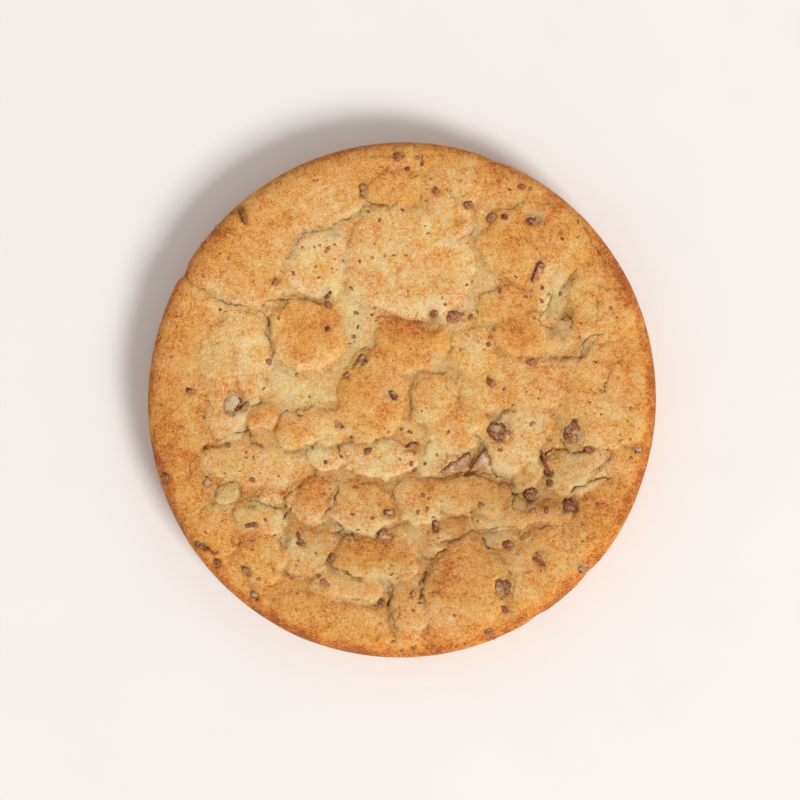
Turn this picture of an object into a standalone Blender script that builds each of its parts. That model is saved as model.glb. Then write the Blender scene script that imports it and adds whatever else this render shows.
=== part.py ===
"""A thick round cookie pie, baked in a tin, with chopped milk chocolate sunk in its cracked top.

Lengths are millimetres here and become metres in the meshes. X runs to the right and Y away from
someone who looks down on the top. Z is up, and the origin is the middle of the flat base.
"""

import math
import random

import bmesh
import bpy
import numpy as np
from mathutils import Matrix, Vector

MM = 0.001

# Driving dimensions of the baked round
MEAN_RADIUS = 128.2
OVAL = 1.1  # the tin's mouth is this much longer one way and shorter across it
OVAL_TURN = math.radians(73.0)
MIDDLE_HEIGHT = 25.6  # of the bed between the lumps
RING_HEIGHT = 28.6  # of the smooth outer ring
RING_FROM = 62.0  # radius where the bed starts to climb to the ring
RING_TO = 98.0
ROLL_WIDTH = 10.0  # how far in from the edge the top starts to roll over
ROLL_DROP = 7.5
WALL_TAPER = 3.6  # the wall leans in by this much towards the base, as the tin does
FOOT_ROUND = 2.4  # radius of the rounded edge between wall and base
GAP = 0.35  # clearance between a chocolate chunk and the dough round it

# How the lumps stand on the bed
LUMP_SQUARENESS = 2.5  # 2 is an ellipse, and more is squarer
LUMP_BLEND = 0.35  # width of the rounded join where two lumps meet
LUMP_SINK = 0.6  # how far a lump's skirt lies under the bed
LEAN = 0.6  # how much higher the front of a lump stands in the front half of the round
LEAN_FROM = -30.0  # distance in front of the middle where the lean starts, so behind it
LEAN_FULL = 50.0
LEAN_LIFT = 0.4  # share of the lean that lifts the whole lump
# Slow waves, as size, reach and seed: one in the bed's height, and two that bend the lumps' outlines
BED_WAVE = (42.0, 0.3, 3)
ACROSS_WAVE = (17.0, 0.9, 11)
AWAY_WAVE = (17.0, 0.9, 12)

# Nicks in the edge: angle in degrees from +X, how deep, and half the width in degrees
NICKS = ((149.6, 1.3, 1.6), (69.0, 0.8, 3.0), (-58.0, 0.8, 2.0), (-42.8, 0.7, 2.0))

# Lumps of dough: x, y, half length, half width, turn in degrees, rise
LUMPS = (
    (3.0, 69.0, 32.0, 28.0, 0.0, 2.4),
    (-42.0, 68.0, 14.5, 16.5, 0.0, 1.7),
    (-48.0, 32.0, 19.5, 18.5, 0.0, 2.4),
    (4.0, 27.5, 20.0, 13.5, 0.0, 2.2),
    (-15.0, 1.5, 16.5, 23.0, -12.0, 2.0),
    (16.0, 1.0, 13.0, 12.5, 0.0, 2.1),
    (66.5, 77.5, 28.5, 20.0, 5.0, 2.3),
    (50.0, 47.5, 13.0, 8.0, 10.0, 1.6),
    (61.0, 33.0, 15.0, 11.5, 0.0, 1.9),
    (101.0, 50.0, 18.0, 20.0, 0.0, 1.5),
    (101.0, 3.0, 24.0, 27.0, 0.0, 1.5),
    (57.0, 8.0, 30.0, 14.0, 0.0, 1.5),
    (35.0, 25.0, 11.0, 11.0, 0.0, 1.5),
    (-4.0, 105.0, 14.0, 9.0, 0.0, 1.3),
    (24.0, 104.0, 15.0, 12.0, 0.0, 1.0),
    (-82.5, 17.0, 17.0, 23.0, 0.0, 1.0),
    (-87.0, -9.0, 11.0, 10.0, 30.0, 1.2),
    (-71.0, -9.0, 6.5, 7.0, 0.0, 1.8),
    (-45.0, -14.0, 19.0, 10.0, 5.0, 2.1),
    (-38.0, -27.5, 8.5, 7.5, 0.0, 1.6),
    (-13.0, -29.0, 21.0, 9.5, -3.0, 2.3),
    (16.0, -31.0, 10.0, 8.0, 0.0, 1.5),
    (26.5, -13.0, 16.0, 14.0, 0.0, 1.9),
    (57.0, -20.0, 21.0, 14.0, 52.0, 2.5),
    (62.0, -35.5, 10.0, 8.5, 50.0, 1.7),
    (88.0, -35.5, 17.0, 10.5, 15.0, 1.2),
    (102.0, -60.0, 21.0, 17.5, 60.0, 2.0),
    (32.5, -48.0, 22.0, 10.5, -3.0, 2.9),
    (50.0, -57.5, 17.0, 7.5, 8.0, 1.9),
    (70.0, -56.5, 13.0, 6.5, 5.0, 1.5),
    (49.0, -69.0, 10.0, 5.0, 8.0, 1.4),
    (74.0, -80.0, 26.0, 19.0, 35.0, 1.8),
    (31.0, -93.0, 20.5, 29.0, -20.0, 2.3),
    (3.0, -105.0, 8.5, 18.0, 0.0, 1.4),
    (-13.5, -78.5, 23.0, 12.5, -5.0, 2.5),
    (8.0, -70.0, 13.0, 10.0, 10.0, 1.5),
    (9.0, -52.0, 12.0, 13.0, 0.0, 1.9),
    (-21.0, -54.0, 19.0, 13.0, -8.0, 2.5),
    (-45.5, -50.0, 12.5, 11.5, 15.0, 2.5),
    (-66.0, -48.0, 8.5, 5.5, 15.0, 1.1),
    (-73.0, -32.5, 27.0, 11.5, -5.0, 0.8),
    (-70.0, -59.0, 11.5, 8.0, 0.0, 1.0),
    (-87.0, -46.0, 7.0, 5.5, 0.0, 1.5),
    (-88.0, -54.0, 6.5, 3.0, 5.0, 1.6),
    (-95.0, -66.0, 14.0, 13.0, 40.0, 1.3),
    (-46.0, -76.5, 14.0, 11.5, 10.0, 1.5),
    (-71.5, -79.0, 14.0, 12.0, -40.0, 1.4),
    (-27.0, -92.0, 21.0, 9.5, -5.0, 1.8),
    (-36.0, -111.0, 31.0, 13.0, -12.0, 1.6),
)
# Hollows between lumps, in the same terms, with how deep
HOLLOWS = (
    (14.0, 38.5, 8.0, 6.0, 0.0, 1.0),
    (77.5, 41.0, 7.5, 12.0, -5.0, 1.6),
    (85.0, 27.0, 8.0, 7.0, 0.0, 1.0),
    (-83.0, -1.0, 6.0, 5.5, 30.0, 1.2),
    (65.0, 90.0, 6.0, 3.5, 0.0, 1.2),
)

# Deep seams between the plates of dough, each a few places that it runs through, then depth and width
SEAMS = (
    (((-109.0, 64.0), (-100.0, 56.0), (-87.0, 48.0), (-76.0, 45.0), (-67.0, 41.0)), 1.3, 1.6),
    (((-67.0, 41.0), (-67.0, 35.0), (-66.0, 30.0), (-65.0, 22.0)), 1.4, 1.5),
    (((-70.0, 48.0), (-60.0, 50.0), (-51.0, 52.0), (-40.0, 50.0)), 1.2, 1.4),
    (((-56.0, 72.0), (-51.0, 81.0), (-41.0, 84.0), (-32.0, 88.0), (-22.0, 94.0)), 1.1, 1.6),
    (((35.0, 96.0), (35.0, 84.0), (28.0, 80.0)), 0.9, 1.6),
    (((86.0, 65.0), (79.0, 56.0), (74.0, 49.0), (69.0, 40.0), (72.0, 35.0)), 1.3, 1.7),
    (((75.0, 21.0), (87.0, 21.0), (90.0, 25.0), (97.0, 32.0)), 1.4, 1.6),
    (((37.0, -17.0), (42.0, -25.0), (45.0, -35.0), (53.0, -41.0), (55.0, -47.0)), 1.5, 1.6),
    (((69.0, -28.0), (75.0, -26.0), (83.0, -24.0), (94.0, -24.0)), 1.3, 1.5),
    (((105.0, -27.0), (98.0, -34.0), (87.0, -43.0)), 1.2, 1.6),
    (((20.0, -55.0), (28.0, -58.0), (36.0, -56.0), (44.0, -64.0)), 1.2, 1.5),
    (((19.0, -71.0), (32.0, -66.0), (41.0, -70.0), (52.0, -82.0)), 1.3, 1.6),
    (((57.0, -76.0), (66.0, -65.0), (75.0, -63.0)), 1.2, 1.5),
    (((10.0, -76.0), (15.0, -79.0), (11.0, -90.0), (9.0, -99.0)), 1.6, 1.7),
    (((-7.0, -90.0), (-6.0, -98.0), (-5.0, -107.0), (-3.0, -113.0)), 2.0, 1.9),
    (((-31.0, -100.0), (-22.0, -99.0), (-13.0, -101.0)), 1.1, 1.5),
    (((-38.0, -80.0), (-32.0, -84.0), (-21.0, -88.0)), 1.2, 1.6),
    (((-60.0, -85.0), (-52.0, -87.0), (-44.0, -88.0)), 1.2, 1.5),
    (((-33.0, -44.0), (-39.0, -58.0), (-34.0, -66.0), (-24.0, -66.0)), 1.5, 1.7),
    (((-80.0, -48.0), (-68.0, -52.0), (-58.0, -54.0), (-50.0, -42.0)), 1.4, 1.6),
    (((-58.0, -55.0), (-58.5, -66.0), (-60.0, -72.0)), 1.5, 1.7),
    (((-99.0, -24.0), (-85.0, -17.0), (-77.0, -14.0), (-71.0, -23.0)), 1.5, 1.7),
    (((-56.0, -25.0), (-45.0, -22.0), (-33.0, -23.0)), 1.2, 1.6),
)

# Chocolate chunks of their own: name, and the corners of the piece as it lies in the top
CHUNKS = (
    (
        "chunk_slab",
        ((18.0, -36.0), (22.5, -32.0), (28.0, -28.5), (33.5, -25.5), (35.5, -26.5), (35.0, -30.5),
         (32.0, -35.0), (26.5, -37.0), (20.5, -37.5)),
    ),
    (
        "chunk_slab_end",
        ((39.5, -25.0), (42.5, -24.5), (43.5, -29.0), (43.0, -32.5), (38.5, -34.5), (34.5, -37.5),
         (33.0, -37.0), (35.5, -32.0), (38.0, -28.0)),
    ),
    (
        "chunk_ridge",
        ((42.5, -13.5), (45.0, -11.5), (48.0, -10.5), (51.5, -12.5), (54.5, -15.5), (53.5, -19.0),
         (50.5, -20.5), (45.5, -20.5), (43.0, -17.5)),
    ),
    (
        "chunk_right",
        ((79.5, -15.5), (82.0, -12.5), (85.5, -10.0), (87.5, -9.5), (89.5, -15.0), (91.5, -19.0),
         (88.0, -21.5), (81.5, -20.5), (79.5, -18.5)),
    ),
    (
        "chunk_seam_right",
        ((79.5, -49.5), (85.0, -48.0), (86.5, -51.5), (87.0, -55.0), (83.5, -57.5), (80.0, -57.0),
         (77.5, -56.0)),
    ),
    (
        "chunk_block",
        ((22.0, 41.0), (23.0, 44.5), (30.5, 44.5), (31.5, 43.0), (30.5, 41.0), (28.5, 40.0), (22.5, 39.0)),
    ),
    (
        "chunk_splinter",
        ((68.5, 70.0), (70.5, 68.0), (69.5, 65.0), (68.0, 61.5), (65.0, 58.0), (64.0, 60.0), (66.0, 65.0)),
    ),
    ("chunk_pocket", ((61.0, 89.5), (63.0, 91.0), (67.0, 91.0), (67.0, 88.5), (64.0, 87.5))),
    (
        "chunk_long",
        ((69.0, -24.5), (70.5, -25.5), (72.5, -30.5), (74.5, -36.5), (74.0, -38.0), (71.0, -37.5),
         (70.0, -35.0)),
    ),
    (
        "chunk_lower_right",
        ((64.5, -79.0), (67.0, -75.0), (69.0, -75.5), (71.5, -81.0), (71.5, -83.0), (69.5, -82.5)),
    ),
    (
        "chunk_low",
        ((46.5, -89.0), (50.5, -88.5), (54.0, -89.0), (55.5, -90.5), (54.5, -94.5), (52.5, -98.0),
         (49.5, -98.5), (46.5, -95.0)),
    ),
    ("chunk_arch", ((-24.5, 16.5), (-23.0, 19.0), (-19.5, 24.5), (-17.0, 19.0), (-20.0, 17.0))),
    (
        "chunk_upper_left",
        ((-80.5, 96.0), (-79.0, 96.5), (-78.0, 93.5), (-77.5, 88.0), (-79.0, 88.0), (-81.5, 93.5)),
    ),
    (
        "chunk_top",
        ((-21.5, 106.5), (-20.5, 108.0), (-18.0, 107.5), (-17.5, 104.0), (-18.5, 101.0), (-20.5, 101.0)),
    ),
    (
        "chunk_pale",
        ((-88.0, 2.0), (-84.5, 4.5), (-81.0, 2.0), (-79.0, -1.0), (-81.5, -4.5), (-84.5, -7.5),
         (-88.0, -6.0), (-89.0, -1.5)),
    ),
    (
        "chunk_lower_left",
        ((-52.5, -66.5), (-51.5, -65.5), (-50.0, -67.0), (-48.0, -72.5), (-50.5, -73.0), (-53.0, -71.5)),
    ),
    (
        "chunk_hook",
        ((-13.0, -69.0), (-12.5, -66.0), (-10.5, -63.5), (-8.5, -64.0), (-4.5, -67.5), (-6.0, -69.5),
         (-12.0, -70.0)),
    ),
)
# Smaller chips, fused with the dough: x, y, length, width, turn in degrees
CHIPS = (
    (64.5, -47.0, 6.5, 5.0, -20.0),
    (52.0, -105.0, 5.5, 4.0, -40.0),
    (53.0, -71.5, 6.0, 4.0, -5.0),
    (-4.0, 2.5, 6.0, 4.5, -35.0),
    (-7.0, -56.5, 6.5, 3.5, 0.0),
    (16.5, -62.5, 6.0, 3.0, 85.0),
    (-75.0, -63.0, 7.5, 2.6, 10.0),
    (-101.0, -72.5, 8.0, 3.0, -25.0),
    (44.5, 8.5, 6.0, 4.0, -60.0),
    (90.5, -83.5, 7.0, 4.0, -10.0),
    (-97.0, -39.0, 5.5, 5.0, 0.0),
    (15.5, 43.5, 4.5, 4.0, 40.0),
    (34.5, 41.0, 3.5, 3.0, 0.0),
    (44.5, 90.5, 6.0, 3.0, 40.0),
    (51.0, 91.0, 3.0, 3.0, 0.0),
    (-28.0, 12.5, 4.0, 3.0, 40.0),
    (80.5, 41.0, 5.0, 4.0, 0.0),
    (-63.5, 59.0, 5.0, 4.0, 60.0),
    (-37.0, 52.5, 5.0, 3.5, 45.0),
    (5.5, -22.5, 5.5, 3.5, 30.0),
    (-31.5, -13.0, 5.5, 3.2, -10.0),
    (-37.5, 35.5, 4.5, 4.5, 0.0),
    (64.5, 18.5, 5.0, 2.8, 30.0),
    (-74.0, -94.0, 5.0, 4.0, -50.0),
    (117.0, -25.0, 5.0, 4.0, 0.0),
    (-105.0, 4.0, 6.0, 3.0, -10.0),
    (-118.0, -38.5, 4.5, 4.0, 0.0),
    (-77.0, -85.0, 4.5, 4.0, 0.0),
    (-92.5, -81.0, 4.0, 4.0, 30.0),
    (16.5, 104.0, 4.0, 3.5, 40.0),
    (-2.0, 121.5, 4.5, 3.0, 0.0),
    (33.0, 97.0, 5.0, 3.5, 10.0),
    (93.0, -24.5, 4.0, 2.6, 0.0),
    (73.5, -41.5, 3.0, 3.0, 0.0),
    (-10.5, -101.0, 4.0, 3.0, 60.0),
    (6.0, -95.5, 4.0, 4.0, 0.0),
    (-38.5, -91.0, 4.0, 3.4, -50.0),
    (-17.0, -25.5, 4.0, 3.4, 80.0),
    (43.0, -115.5, 4.0, 3.5, 30.0),
    (-36.5, 47.5, 3.0, 3.0, 0.0),
    (59.5, 106.5, 4.0, 2.6, -20.0),
    (-35.5, -79.5, 4.5, 3.5, 60.0),
)
CHUNK_DEPTH = 6.0
CHIP_DEPTH = 3.6
PROUD = 0.8  # how far chocolate stands out of the dough
SLOPE_REACH = 4.0  # the dough's slope is read this far either side
BEVEL = 1.2  # from a chunk's side to its flat top
BEVEL_FALL = 0.7
BLANK = 40.0  # the block that a piece is cut from, larger than any piece
SNAP = 0.001  # a corner this near a cut lies on it
# A chip is a block with its corners knifed off at random, within these limits
KNIFE_CUTS = 6
KNIFE_SPREAD = (0.15, 0.85)  # where a cut may lie in its own sixth of the way round
KNIFE_RISE = (-0.25, 0.75)
KNIFE_KEEPS = (0.68, 0.86)  # share of the corner's distance that is left
CHIP_TILT = 9.0  # degrees either way
CHIP_TILT_AXIS = (1.0, 0.3, 0.0)

ROUND_TRIANGLES = 7900
SHARES = (0.74, 0.10)  # of the ball's skin that goes to the top and to the wall
BALL_SUBDIVISIONS = 7

CRUST_COLOUR = (0.72, 0.43, 0.17, 1.0)
CRUST_ROUGHNESS = 0.7
CHOCOLATE_COLOUR = (0.16, 0.065, 0.045, 1.0)
CHOCOLATE_ROUGHNESS = 0.45


def ramp(low, high, value):
    """0 below low, 1 above high, and a smooth rise between."""
    t = np.clip((value - low) / (high - low), 0.0, 1.0)
    return t * t * (3.0 - 2.0 * t)


def edge_radius(angle):
    """The outline's radius at an angle, with its nicks."""
    radius = MEAN_RADIUS + OVAL * np.cos(2.0 * (angle - OVAL_TURN))
    for degrees, depth, half_width in NICKS:
        away = np.angle(np.exp(1j * (angle - math.radians(degrees))))
        radius = radius - depth * np.exp(-((away / math.radians(half_width)) ** 2))
    return radius


def wander(x, y, size, reach, seed):
    """A smooth wavy shift for places x, y: a sum of a few seeded waves about size long."""
    draw = random.Random(seed)
    total = np.zeros_like(x)
    waves = 5
    for _ in range(waves):
        heading = draw.uniform(0.0, math.tau)
        pitch = math.tau / (size * draw.uniform(0.7, 1.5))
        phase = draw.uniform(0.0, math.tau)
        total += np.sin(pitch * (x * math.cos(heading) + y * math.sin(heading)) + phase)
    return reach * total / math.sqrt(waves)


def in_ellipse(x, y, shape, squareness=2.0):
    """How far out a place lies in an ellipse (0 middle, 1 edge), and how far to the front of it."""
    cx, cy, half_length, half_width, degrees = shape
    c, s = math.cos(math.radians(degrees)), math.sin(math.radians(degrees))
    along = np.abs((x - cx) * c + (y - cy) * s) / half_length
    across = np.abs((y - cy) * c - (x - cx) * s) / half_width
    out = (along**squareness + across**squareness) ** (1.0 / squareness)
    return out, (cy - y) / max(half_length, half_width)


def smooth_max(a, b, blend):
    """The larger of two heights, with the join between them rounded."""
    h = np.clip(0.5 + 0.5 * (a - b) / blend, 0.0, 1.0)
    return b + (a - b) * h + blend * h * (1.0 - h)


def distance_to_run(x, y, places):
    """Distance from each x, y to a run of straight stretches."""
    nearest = np.full_like(x, np.inf)
    for (ax, ay), (bx, by) in zip(places, places[1:]):
        dx, dy = bx - ax, by - ay
        t = np.clip(((x - ax) * dx + (y - ay) * dy) / (dx * dx + dy * dy), 0.0, 1.0)
        nearest = np.minimum(nearest, np.hypot(x - ax - t * dx, y - ay - t * dy))
    return nearest


def top_height(x, y):
    """Height of the baked top over the base at x, y."""
    radius = np.hypot(x, y)
    edge = edge_radius(np.arctan2(y, x))
    bed = MIDDLE_HEIGHT + (RING_HEIGHT - MIDDLE_HEIGHT) * ramp(RING_FROM, RING_TO, radius)
    bed = bed + wander(x, y, *BED_WAVE)
    wx = x + wander(x, y, *ACROSS_WAVE)
    wy = y + wander(x, y, *AWAY_WAVE)
    # Lumps in the front half lean forward, so their front edges are the steep ones
    lean = LEAN * ramp(LEAN_FROM, LEAN_FULL, -y)
    top = bed
    for *shape, rise in LUMPS:
        out, forward = in_ellipse(wx, wy, shape, LUMP_SQUARENESS)
        dome = np.sqrt(np.clip(1.0 - out**3, 0.0, 1.0))
        lifted = 1.0 + lean * (LEAN_LIFT + np.clip(forward, -1.0, 1.0))
        lump = bed + rise * dome * lifted - LUMP_SINK * (out > 1.0)
        top = smooth_max(top, lump, LUMP_BLEND)
    for *shape, depth in HOLLOWS:
        out, _ = in_ellipse(wx, wy, shape)
        top = top - depth * np.clip(1.0 - out**3, 0.0, 1.0)
    for places, depth, width in SEAMS:
        top = top - depth * np.exp(-((distance_to_run(wx, wy, places) / width) ** 2))
    t = np.clip((radius - edge + ROLL_WIDTH) / ROLL_WIDTH, 0.0, 1.0)
    return top - ROLL_DROP * (1.0 - np.sqrt(1.0 - t * t))


def press_into_tin(ball):
    """Moves a unit ball's points to the skin of the baked round."""
    angle = np.arctan2(ball[:, 1], ball[:, 0])
    edge = edge_radius(angle)
    share = (1.0 - ball[:, 2]) / 2.0  # of the ball's skin that lies higher
    top_share, wall_share = SHARES
    base_share = 1.0 - top_share - wall_share
    on_top = share <= top_share
    on_base = share >= top_share + wall_share
    # Top
    radius = edge * np.sqrt(np.clip(share / top_share, 0.0, 1.0))
    x, y = radius * np.cos(angle), radius * np.sin(angle)
    z = top_height(x, y)
    # Wall: down from the rim, leaning in, with a rounded foot
    down = np.clip((share - top_share) / wall_share, 0.0, 1.0)
    wall_z = z * (1.0 - down)
    foot = np.clip(1.0 - wall_z / FOOT_ROUND, 0.0, 1.0)
    wall_radius = edge - WALL_TAPER * down - FOOT_ROUND * (1.0 - np.sqrt(1.0 - foot * foot))
    # Base: flat, out to the foot
    inward = np.sqrt(np.clip((1.0 - share) / base_share, 0.0, 1.0))
    base_radius = (edge - WALL_TAPER - FOOT_ROUND) * inward
    final_radius = np.where(on_top, radius, np.where(on_base, base_radius, wall_radius))
    final_z = np.where(on_top, z, np.where(on_base, 0.0, wall_z))
    return np.column_stack((final_radius * np.cos(angle), final_radius * np.sin(angle), final_z))


def material(name, colour, roughness):
    """A plain finish of one colour."""
    finish = bpy.data.materials.new(name)
    finish.use_nodes = True
    shader = finish.node_tree.nodes["Principled BSDF"]
    shader.inputs["Base Color"].default_value = colour
    shader.inputs["Roughness"].default_value = roughness
    finish.diffuse_color = colour
    return finish


def new_object(name, mesh, collection, finish):
    """Puts a mesh in a collection as an object with one finish."""
    mesh.materials.clear()
    mesh.materials.append(finish)
    thing = bpy.data.objects.new(name, mesh)
    collection.objects.link(thing)
    return thing


def round_of_dough(collection, finish):
    """The whole round: a fine ball pressed into the tin's shape, thinned where it is smooth."""
    form = bmesh.new()
    bmesh.ops.create_icosphere(form, subdivisions=BALL_SUBDIVISIONS, radius=1.0)
    mesh = bpy.data.meshes.new("cookie")
    form.to_mesh(mesh)
    form.free()
    ball = np.empty(len(mesh.vertices) * 3)
    mesh.vertices.foreach_get("co", ball)
    skin = press_into_tin(ball.reshape(-1, 3)) * MM
    mesh.vertices.foreach_set("co", skin.ravel())
    mesh.update()
    cookie = new_object("cookie", mesh, collection, finish)
    thin = cookie.modifiers.new("thin", "DECIMATE")
    thin.ratio = ROUND_TRIANGLES / len(mesh.polygons)
    bake_modifiers(cookie)
    return cookie


def box_planes(half):
    """The six faces of a block as (normal, distance from its middle)."""
    planes = []
    for axis in range(3):
        for sign in (1.0, -1.0):
            normal = Vector((0.0, 0.0, 0.0))
            normal[axis] = sign
            planes.append((normal, half[axis]))
    return planes


def knifed_planes(size, seed):
    """The planes of a block with its corners knifed off, and the piece's slight tilt."""
    draw = random.Random(seed)
    half = Vector(size) / 2.0
    planes = box_planes(half)
    for k in range(KNIFE_CUTS):
        heading = math.tau * (k + draw.uniform(*KNIFE_SPREAD)) / KNIFE_CUTS
        rise = draw.uniform(*KNIFE_RISE)
        normal = Vector((math.cos(heading), math.sin(heading), rise)).normalized()
        corner = sum(abs(n) * h for n, h in zip(normal, half))
        planes.append((normal, corner * draw.uniform(*KNIFE_KEEPS)))
    tilt = math.radians(draw.uniform(-CHIP_TILT, CHIP_TILT))
    return planes, Matrix.Rotation(tilt, 4, CHIP_TILT_AXIS)


def outlined_planes(corners):
    """The planes of a chunk: upright sides, a bevel over each of them, and a flat top and bottom."""
    half = CHUNK_DEPTH / 2.0
    planes = [(Vector((0.0, 0.0, 1.0)), half), (Vector((0.0, 0.0, -1.0)), half)]
    for here, there in zip(corners, corners[1:] + corners[:1]):
        along = there - here
        outward = Vector((-along.y, along.x, 0.0)).normalized()  # the corners run clockwise
        away = outward.xy.dot(here)
        slant = (outward * BEVEL_FALL + Vector((0.0, 0.0, BEVEL))).normalized()
        brow = outward * away + Vector((0.0, 0.0, half - BEVEL_FALL))
        planes.append((outward, away))
        planes.append((slant, slant.dot(brow)))
    return planes


def cut_out(name, collection, finish, planes, seat, grow=0.0):
    """A convex piece from its planes, grown all round by grow and put on its seat."""
    block = bmesh.new()
    bmesh.ops.create_cube(block, size=BLANK)
    for normal, distance in planes:
        everything = block.verts[:] + block.edges[:] + block.faces[:]
        place = normal * (distance + grow)
        cut = bmesh.ops.bisect_plane(
            block, geom=everything, plane_co=place, plane_no=normal, clear_outer=True, dist=SNAP
        )
        rim = [g for g in cut["geom_cut"] if isinstance(g, bmesh.types.BMEdge)]
        if rim:
            bmesh.ops.contextual_create(block, geom=rim)
    bmesh.ops.recalc_face_normals(block, faces=block.faces)
    bmesh.ops.triangulate(block, faces=block.faces)
    mesh = bpy.data.meshes.new(name)
    block.to_mesh(mesh)
    block.free()
    piece = new_object(name, mesh, collection, finish)
    piece.matrix_world = Matrix.Scale(MM, 4) @ seat
    return piece


def seat_in_top(x, y, depth):
    """Where a piece of chocolate sits that is sunk in the top at x, y, square to the slope there."""
    reach = SLOPE_REACH
    around = np.array([[x, y], [x + reach, y], [x - reach, y], [x, y + reach], [x, y - reach]])
    here, east, west, north, south = (float(h) for h in top_height(around[:, 0], around[:, 1]))
    slope = Vector(((west - east) / (2.0 * reach), (south - north) / (2.0 * reach), 1.0)).normalized()
    middle = Vector((x, y, here)) + slope * (PROUD - depth / 2.0)
    square = Vector((0.0, 0.0, 1.0)).rotation_difference(slope).to_matrix().to_4x4()
    return Matrix.Translation(middle) @ square


def bake_modifiers(thing):
    """Applies an object's modifiers by taking its evaluated mesh."""
    evaluated = thing.evaluated_get(bpy.context.evaluated_depsgraph_get())
    mesh = bpy.data.meshes.new_from_object(evaluated)
    thing.modifiers.clear()
    old = thing.data
    thing.data = mesh
    bpy.data.meshes.remove(old)
    mesh.name = thing.name


def join_or_cut(thing, operation, others):
    """Joins or cuts thing with every object of a collection, and removes them."""
    change = thing.modifiers.new(operation.lower(), "BOOLEAN")
    change.operation = operation
    change.operand_type = "COLLECTION"
    change.collection = others
    change.solver = "EXACT"
    bake_modifiers(thing)
    for other in list(others.objects):
        bpy.data.objects.remove(other)


def main():
    """Bakes the round, sinks the chips and chunks in it and makes room for the chunks."""
    for thing in list(bpy.data.objects):
        bpy.data.objects.remove(thing)
    parts = bpy.data.collections.new("cookie_pie")
    cutters = bpy.data.collections.new("cutters")
    bpy.context.scene.collection.children.link(parts)
    bpy.context.scene.collection.children.link(cutters)
    crust = material("crust", CRUST_COLOUR, CRUST_ROUGHNESS)
    chocolate = material("chocolate", CHOCOLATE_COLOUR, CHOCOLATE_ROUGHNESS)

    cookie = round_of_dough(parts, crust)
    for number, (x, y, length, width, turn) in enumerate(CHIPS):
        planes, tilt = knifed_planes((length, width, CHIP_DEPTH), number)
        turned = Matrix.Rotation(math.radians(turn), 4, "Z") @ tilt
        cut_out(f"chip_{number}", cutters, crust, planes, seat_in_top(x, y, CHIP_DEPTH) @ turned)
    join_or_cut(cookie, "UNION", cutters)
    for name, outline in CHUNKS:
        corners = [Vector(corner) for corner in outline]
        middle = sum(corners, Vector((0.0, 0.0))) / len(corners)
        planes = outlined_planes([corner - middle for corner in corners])
        seat = seat_in_top(middle.x, middle.y, CHUNK_DEPTH)
        cut_out(name, parts, chocolate, planes, seat)
        cut_out(name + "_room", cutters, crust, planes, seat, grow=GAP)
    join_or_cut(cookie, "DIFFERENCE", cutters)


main()
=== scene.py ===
# %% [markdown]
# # A cookie pie, from the tin to the table
#
# A cookie pie is one thick round of cookie dough, baked in a tin. Its edge rises smooth and golden, and
# its middle, spooned in as lumps, bakes into plates and folds with pale cracks between them. Chopped milk
# chocolate shows all over the top.
#
# This lesson dresses a plain model of it. The first cell opens that model, which fixes every size and place.

# %% Open the model
import math
import random

import bmesh
import bpy
import numpy as np
from mathutils import Matrix, Vector


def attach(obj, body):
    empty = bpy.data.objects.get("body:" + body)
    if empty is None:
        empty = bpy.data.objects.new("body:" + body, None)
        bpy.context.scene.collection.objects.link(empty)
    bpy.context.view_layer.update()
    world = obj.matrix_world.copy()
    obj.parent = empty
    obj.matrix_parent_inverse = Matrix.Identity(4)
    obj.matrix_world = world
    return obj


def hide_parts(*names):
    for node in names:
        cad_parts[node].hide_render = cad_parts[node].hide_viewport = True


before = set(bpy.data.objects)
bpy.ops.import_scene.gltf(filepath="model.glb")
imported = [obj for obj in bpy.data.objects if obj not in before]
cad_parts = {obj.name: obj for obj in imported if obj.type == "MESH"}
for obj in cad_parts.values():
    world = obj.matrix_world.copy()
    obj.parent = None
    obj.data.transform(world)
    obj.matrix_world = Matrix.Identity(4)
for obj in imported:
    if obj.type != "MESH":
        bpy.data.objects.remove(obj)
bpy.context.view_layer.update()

MM = 0.001

# %% [markdown]
# ## Two kinds of place
#
# Big forms are in millimetres, with X to the right, Y away from the viewer and the origin in the middle of
# the base. Small marks are easier to read off a picture, so they are picture places, and one function turns
# them into millimetres. One picture step is half a millimetre.

# %% Picture places to millimetres
PICTURE_MIDDLE = (402.0, 400.0)
MM_PER_STEP = 0.5


def place(across, down):
    """A picture place as x, y in millimetres."""
    return (across - PICTURE_MIDDLE[0]) * MM_PER_STEP, (PICTURE_MIDDLE[1] - down) * MM_PER_STEP


def picture_ellipse(across, down, half_length, half_width, turn):
    """An ellipse read off a picture as x, y, half length and half width in millimetres, and its turn."""
    return (*place(across, down), half_length * MM_PER_STEP, half_width * MM_PER_STEP, turn)


print("picture corner lies at", place(0.0, 0.0), "mm")

# %% [markdown]
# ## Smooth steps
#
# Dough has no hard borders, so changes run over a smooth step, and where two forms meet, the larger one
# wins with a rounded join.

# %% Steps and joins
def ramp(low, high, value):
    """0 below low, 1 above high, and a smooth rise between."""
    t = np.clip((value - low) / (high - low), 0.0, 1.0)
    return t * t * (3.0 - 2.0 * t)


def smooth_max(a, b, blend):
    """The larger of two heights, with the join between them rounded."""
    h = np.clip(0.5 + 0.5 * (a - b) / blend, 0.0, 1.0)
    return b + (a - b) * h + blend * h * (1.0 - h)


print("ramp halfway:", float(ramp(0.0, 1.0, np.array(0.5))))

# %% [markdown]
# ## Waves and ellipses
#
# A slow wavy shift bends straight rules a little, so that no lump keeps a compass-drawn edge. Its sine
# waves are drawn with a fixed seed, so each run gives the same cookie. Lumps, patches and chips are all
# ellipses, so one function tells how far out in an ellipse a place lies.

# %% Waves and ellipses
WAVES = 5


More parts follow.
